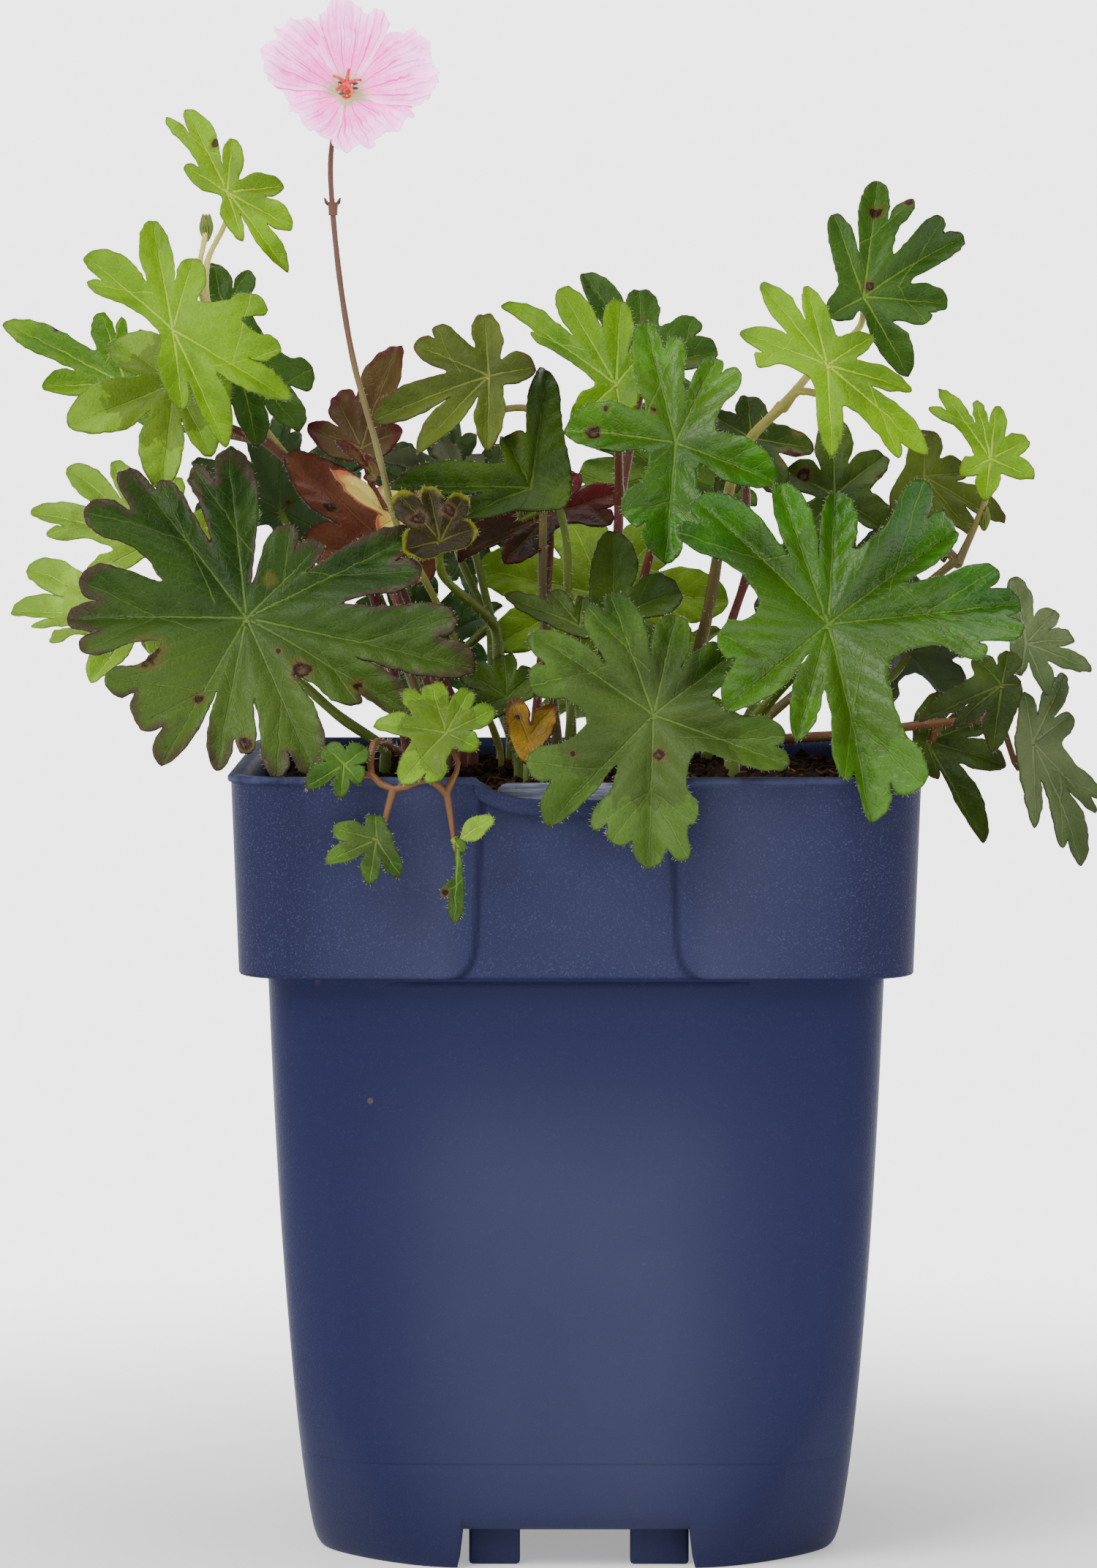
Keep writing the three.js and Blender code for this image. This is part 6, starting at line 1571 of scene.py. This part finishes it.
                  (94.8, 228.7, 0.6), (95.7, 220.8, 0.45), (85.3, 216.3, 0.6), (80.2, 221.5, 0.3)],
         "stem": {"from": (80, 203, -8), "via": [(84, 212, -8)], "radius": 0.75}},
        {"at": (72.8, 221, 4), "look": "olive", "face": (0.1, -0.84, 0.52), "width": 3.2,
         "tips": [(66, 214, 0.4), (73, 231, 0.5), (82, 222, 0.45), (89.7, 212, 0.6), (82.3, 209.5, 0.5),
                  (77, 205, 0.3)],
         "stem": {"from": (80, 203, -8), "via": [(76, 208, 2)]}},
    ], "stems": [{"from": (34, 2), "path": [(56, 184, 0), (80, 204, -8)], "radius": 0.95}],
     "buds": [{"at": (85.4, 212, -8), "size": 2.2}]},
    {"name": "leaf_glossy_right", "finish": "green", "leaves": [
        {"at": (52.7, 190, -64), "look": "glossy", "face": (0.14, -0.88, 0.42), "width": 3.9,
         "point": 0.15, "droop": 0.06, "fold": 0.9, "quilt": 1.6, "fade": 0.5,
         "tips": [(30.8, 172.8, 0.85), (28.7, 186.3, 0.5), (19.8, 206.5, 0.88), (25.7, 217.5, 0.45),
                  (42.3, 218.7, 0.45), (54.8, 217.8, 0.5), (72.2, 217.3, 0.85), (81, 210.8, 0.5),
                  (88.3, 200.3, 0.88), (93.3, 193.7, 0.92), (92.7, 185.7, 0.85), (84.5, 180.7, 0.42),
                  (71.8, 156.2, 0.88), (62.3, 151.8, 0.85), (55.5, 158, 0.5), (45.7, 166, 0.3)],
         "stem": {"from": (32, -28), "via": [(44, 178, -46)], "radius": 1.3}},
    ]},
    {"name": "leaf_matte_front", "finish": "green", "leaves": [
        {"at": (16.2, 171, -71), "look": "matte", "face": (0, -0.95, 0.3), "width": 3.7, "point": 0.1,
         "droop": 0.05, "fold": 0.75, "quilt": 1.3, "fade": 0.75,
         "marks": [(17.3, 162.6, 1.7), (-0.8, 162, 1.0)],
         "tips": [(-6.2, 148.7, 0.85), (-10.5, 159.5, 0.5), (-9.8, 175.8, 0.85), (-9.5, 188.7, 0.5),
                  (2.3, 193, 0.9), (7.2, 196, 0.5), (21, 191.8, 0.5), (33.3, 184.2, 0.5),
                  (43.8, 166, 0.9), (44.7, 161, 0.45), (24.7, 148, 0.9), (23.2, 141.2, 0.9),
                  (15.2, 140, 0.9), (7.2, 144.2, 0.9), (3.5, 147, 0.45)],
         "stem": {"from": (14, -44), "via": [(15, 170, -58)], "radius": 1.2}},
    ]},
    {"name": "stem_trailing_right", "finish": "dark", "stalk": "runner", "leaves": [
        {"at": (89.2, 177.3, -20), "look": "trail", "face": (0.15, -0.85, 0.5), "width": 2.7,
         "point": 0.7,
         "tips": [(86.8, 163.7, 0.5), (79, 169.5, 0.5), (71.8, 170.8, 0.45), (83.7, 183.2, 0.5),
                  (91, 184.5, 0.5), (93.4, 177.5, 0.5)],
         "stem": {"from": (84, 170.5, -2)}},
        {"at": (73.5, 165.5, 6), "look": "trail", "face": (0.1, -0.9, 0.4), "width": 3.4, "point": 0.7,
         "tips": [(85.3, 145, 0.4), (76, 158, 0.3), (76.5, 176, 0.4), (88.5, 171, 0.45),
                  (90.5, 161, 0.4)],
         "stem": {"from": (76, 169.5, 2), "radius": 0.9}},
        {"at": (94.3, 186, -6), "look": "dusty", "face": (0.1, -0.85, 0.5), "width": 2.4, "point": 0.7,
         "tips": [(92.2, 200.8, 0.45), (101, 192.8, 0.5), (104.8, 187, 0.5), (108.2, 181, 0.45),
                  (98.5, 175.5, 0.45), (92.8, 179.5, 0.3)],
         "stem": {"from": (88.3, 174.3, -2), "via": [(91.5, 180.5, -3)], "radius": 0.8}},
        {"at": (95.7, 165.2, -12), "look": "dusty", "face": (0.35, -0.85, 0.4), "width": 2.7,
         "point": 0.7, "toneAndShade": 0.5,
         "tips": [(94.5, 176, 0.4), (103.8, 179.8, 0.5), (104.5, 171, 0.4), (110.8, 153.8, 0.85),
                  (109.8, 151, 0.5), (107.6, 141.5, 0.85), (102.3, 144.2, 0.4), (96, 148, 0.3)],
         "stem": {"from": (84.3, 170.6, -2), "via": [(89, 169, -6)], "radius": 0.8}},
    ], "stems": [{"from": (38, 12), "path": [(56, 167, 8), (76, 169.5, 2), (84, 170.5, -2),
                  (88.5, 174.5, -2)], "radius": 1}]},
    {"name": "runner_front", "finish": "bright", "stalk": "runner", "leaves": [
        {"at": (-27.3, 167.2, -75), "look": "green", "face": (0, -0.86, 0.5), "width": 2.7, "point": 0.4,
         "toneAndShade": 0.15,
         "tips": [(-42.7, 169.7, 0.55), (-36.5, 175, 0.8), (-30.8, 178, 0.5), (-22.3, 176.3, 0.6),
                  (-17.2, 172.2, 0.5), (-20.5, 164.2, 0.45), (-28.5, 157.5, 0.8), (-37, 157.5, 0.5)],
         "stem": {"from": (-27.3, 155, -75.5), "via": [(-24.8, 161, -74.5)], "radius": 0.6, "lift": 2}},
        {"at": (-48.7, 160.5, -75), "look": "mid", "face": (0, -0.88, 0.48), "width": 2.2,
         "tips": [(-56.7, 156.2, 0.5), (-53, 164.2, 0.5), (-44, 164, 0.45), (-45.4, 156.8, 0.6),
                  (-49.5, 154, 0.4)],
         "stem": {"from": (-43, 158.5, -74), "radius": 0.6, "lift": 2}},
        {"at": (-42, 144.8, -78), "look": "matte", "face": (0, -0.95, 0.3), "width": 1.9,
         "tips": [(-52.8, 140.2, 0.6), (-51.3, 147.2, 0.5), (-42.3, 150, 0.45), (-37, 137.4, 0.5),
                  (-43.5, 135.8, 0.4)],
         "stem": {"from": (-38.5, 155.5, -75.5), "radius": 0.6, "lift": 2}},
        {"at": (-25, 143.4, -78), "look": "mid", "face": (0.1, -0.95, 0.3), "width": 1.5,
         "marks": [(-27.4, 134, 0.9)],
         "tips": [(-23.9, 141.8, 0.3), (-25.5, 127.8, 0.76), (-28.6, 133.6, 0.25)],
         "stem": {"from": (-27.3, 155, -75.5), "radius": 0.6, "lift": 2}},
        {"at": (-25, 144.2, -77), "look": "lime", "face": (-0.2, -0.93, 0.35), "width": 2.2,
         "tips": [(-17.4, 149.6, 0.2), (-25.2, 145.6, 0.5), (-23.9, 143.2, 0.2)],
         "stem": {"from": (-25.3, 145.5, -76.5), "radius": 0.5, "lift": 0.6}},
    ], "stems": [{"from": (-34, -48), "path": [(-42, 165.5, -66), (-43, 163.5, -71), (-43, 158.5, -74),
                  (-38.5, 155.5, -75.5), (-31, 157.5, -76), (-27.3, 154.5, -75.5)], "radius": 0.75}]},
    {"name": "stem_back_left", "finish": "green", "teeth": True, "leaves": [
        {"at": (-62, 214, 44), "look": "mid", "face": (-0.45, 0.75, 0.5), "width": 4,
         "marks": [(-70, 222, 1.2)],
         "tips": [(-84, 206, 0.5), (-80, 226, 0.5), (-62, 236, 0.5), (-42, 226, 0.5), (-44, 204, 0.5),
                  (-58, 194, 0.2)],
         "stem": {"from": (-48, 192, 36)}},
        {"at": (-72, 186, 40), "face": (-0.7, 0.5, 0.5), "width": 3.6,
         "tips": [(-90, 176, 0.5), (-90, 196, 0.5), (-72, 204, 0.45), (-58, 190, 0.5), (-66, 170, 0.3)],
         "stem": {"from": (-48, 192, 36)}},
    ], "stems": [{"from": (-26, 26), "path": [(-40, 180, 32), (-48, 193, 36)], "radius": 1.1}]},
    {"name": "stem_back_centre_left", "finish": "green", "teeth": True, "leaves": [
        {"at": (-26, 214, 52), "look": "matte", "face": (-0.1, 0.8, 0.6), "width": 4.2,
         "tips": [(-46, 208, 0.5), (-44, 226, 0.5), (-26, 236, 0.5), (-8, 228, 0.5), (-6, 208, 0.5),
                  (-22, 196, 0.25)],
         "stem": {"from": (-18, 190, 44)}},
        {"at": (-34, 184, 66), "look": "glossy", "face": (-0.15, 0.85, 0.5), "width": 4,
         "marks": [(-42, 190, 1.5)],
         "tips": [(-54, 178, 0.5), (-52, 194, 0.5), (-34, 204, 0.5), (-16, 196, 0.5), (-16, 178, 0.5),
                  (-30, 164, 0.4)],
         "stem": {"from": (-18, 190, 44), "radius": 1}},
    ], "stems": [{"from": (-14, 36), "path": [(-17, 176, 40), (-18, 191, 44)], "radius": 1.1}]},
    {"name": "stem_back_centre_right", "finish": "bright", "teeth": True, "leaves": [
        {"at": (18, 222, 50), "look": "fresh", "face": (0.1, 0.8, 0.6), "width": 4,
         "tips": [(-2, 216, 0.5), (2, 234, 0.5), (18, 242, 0.5), (34, 236, 0.5), (38, 216, 0.5),
                  (20, 206, 0.25)],
         "stem": {"from": (16, 196, 50)}},
        {"at": (12, 178, 70), "face": (0.05, 0.88, 0.45), "width": 4.2, "toneAndShade": 0.5,
         "tips": [(-8, 172, 0.5), (-6, 190, 0.5), (12, 200, 0.5), (30, 190, 0.5), (32, 172, 0.5),
                  (16, 158, 0.4)],
         "stem": {"from": (16, 196, 50), "via": [(14, 188, 60)], "radius": 1}},
    ], "stems": [{"from": (14, 34), "path": [(16, 180, 42), (16, 197, 50)], "radius": 1.1}]},
    {"name": "stem_back_right_low", "finish": "dark", "teeth": True, "leaves": [
        {"at": (52, 196, 52), "face": (0.35, 0.8, 0.5), "width": 4.2, "fade": 0.6,
         "tips": [(34, 188, 0.5), (36, 206, 0.5), (52, 218, 0.5), (70, 208, 0.5), (72, 190, 0.5),
                  (56, 178, 0.25)],
         "stem": {"from": (40, 178, 40)}},
        {"at": (70, 184, 36), "look": "shade", "face": (0.8, 0.4, 0.45), "width": 3.6,
         "marks": [(74, 190, 1.6)],
         "tips": [(62, 171, 0.5), (58, 190, 0.5), (70, 202, 0.5), (82, 191, 0.5), (80, 173, 0.3)],
         "stem": {"from": (40, 178, 40), "via": [(54, 180, 38)]}},
    ], "stems": [{"from": (28, 28), "path": [(34, 168, 34), (40, 179, 40)], "radius": 1.1}]},
]


def budScales(bud, material):
    # Three scales that close round a bud.
    x, z, y = bud["at"]
    size = bud["size"]
    tip = placed(x, z + 1.2 * size, y)
    base = placed(x, z - size, y)
    scales = []
    for side in (-1, 0, 1):
        way = unit(tip - base + np.array((0.9 * side, -0.4, 0)))
        scales.append(bractLeaf(base, way, (0.6 * side, -0.9, 0.2), 2.4 * size, 0.42 * size, material))
    return scales


def buildPlant():
    looks = {name: leafMaterial(name, row) for name, row in leafLooks.items()}
    stalks = {name: stalkMaterial(name, look) for name, look in stalkLooks.items()}
    hair = hairMaterial()
    for number, node in enumerate(leafyStems):
        seed = 100 + 20 * number
        parts = []
        fuzz = bmesh.new()
        for k, leaf in enumerate(node["leaves"]):
            leaf = toothed(leaf) if node.get("teeth") else leaf
            blade, edge, plan = leafBlade(leaf, looks[leaf.get("look", node["finish"])], seed + 2 * k)
            parts.append(blade)
            edgeHairs(fuzz, edge, plan, seed + k)
        routes = stemRoutes(node)
        parts.append(stalkMesh("stems", routes, stalks[node.get("stalk", "green")], seed))
        stemHairs(fuzz, routes, "stem", seed + 9)
        for bud in node.get("buds", []):
            parts += budScales(bud, stalks["green"])
        parts.append(fromBmesh("fuzz", fuzz, hair))
        joinedPiece(node["name"] + "_foliage", parts, "leaf_" + node["finish"], node["name"])
    return hair


lights = {
    "floorFade": 0.08, "floorEnd": 0.42,
    # where a value starts and ends, and the brightness at both
    "bandLevel": -0.08, "band": (0.14, 0.28, 3.6, 0.6),   # bright around the horizon and softer beyond
    "ceiling": (0.15, 0.4, 1, 0.35),                      # and darker high up
    "aim": (0, 0, 0.16),
    "panelSize": (1.2, 1.2),
    "panels": [("key", (-1.0, -1.15, 1.5), 46), ("fill", (1.3, -1.2, 0.9), 7), ("top", (0.1, 0.3, 1.7), 16)],
}


def mapped(value, span, kind="LINEAR"):
    node = value.tree.nodes.new("ShaderNodeMapRange")
    node.interpolation_type = kind
    for key, number in zip(("From Min", "From Max", "To Min", "To Max"), span):
        node.inputs[key].default_value = number
    value.tree.links.new(value.socket, node.inputs["Value"])
    return Value(value.tree, node.outputs[0])


def buildFloor():
    # A pale disc that fades out towards its rim.
    bm = bmesh.new()
    bmesh.ops.create_circle(bm, cap_ends=True, segments=96, radius=lights["floorEnd"])
    finish = Finish("pale floor", Roughness=0.85, Specular_IOR_Level=0.2, Emission_Strength=0.4)
    finish.shader.inputs["Emission Color"].default_value = (1, 1, 1, 1)
    finish.feed("Base Color", finish.mix(finish.noise(3, 2), (0.88, 0.88, 0.88), (0.92, 0.92, 0.92)))
    reach = finish.node("ShaderNodeVectorMath", {"operation": "LENGTH"}, {0: finish.place()}, 1)
    finish.feed("Alpha", 1 - finish.step(reach, lights["floorFade"], lights["floorEnd"]))
    floor = fromBmesh("floor", bm, finish.material)


def buildRoom():
    world = bpy.data.worlds.new("studio")
    bpy.context.scene.world = world
    world.use_nodes = True
    sky = world.node_tree
    parts = sky.nodes.new("ShaderNodeSeparateXYZ")
    sky.links.new(sky.nodes.new("ShaderNodeTexCoord").outputs["Generated"], parts.inputs[0])
    height = Value(sky, parts.outputs[2])
    band = mapped(abs(height - lights["bandLevel"]), lights["band"], "SMOOTHSTEP")
    colour, strength = sky.nodes["Background"].inputs[:2]
    colour.default_value = (1, 1, 1, 1)
    sky.links.new((band * mapped(height, lights["ceiling"])).socket, strength)


def buildLights():
    for name, place, power in lights["panels"]:
        data = bpy.data.lights.new(name, "AREA")
        data.shape = "RECTANGLE"
        data.size, data.size_y = lights["panelSize"]
        data.energy = power
        lamp = bpy.data.objects.new(name, data)
        bpy.context.scene.collection.objects.link(lamp)
        lamp.location = place
        lamp.rotation_euler = (Vector(lights["aim"]) - Vector(place)).to_track_quat("-Z", "Y").to_euler()


camera = {"place": (0, -1.4, 0.248), "lens": 153.3, "sensor": 36, "pitch": -3.735, "yaw": 0.24}


def buildCamera():
    data = bpy.data.cameras.new("camera")
    data.lens = camera["lens"]
    data.sensor_width = camera["sensor"]
    made = bpy.data.objects.new("camera", data)
    bpy.context.scene.collection.objects.link(made)
    made.location = camera["place"]
    made.rotation_euler = (math.radians(90 + camera["pitch"]), 0, math.radians(camera["yaw"]))
    bpy.context.scene.camera = made


buildPot()
print("pot made")
buildSoil()
print("soil made")
fineHair = buildPlant()
print("leaves and stems made")
buildFlower(fineHair)
print("flower made")
buildFloor()
buildRoom()
buildLights()
buildCamera()
print("floor, room, lights and camera made")
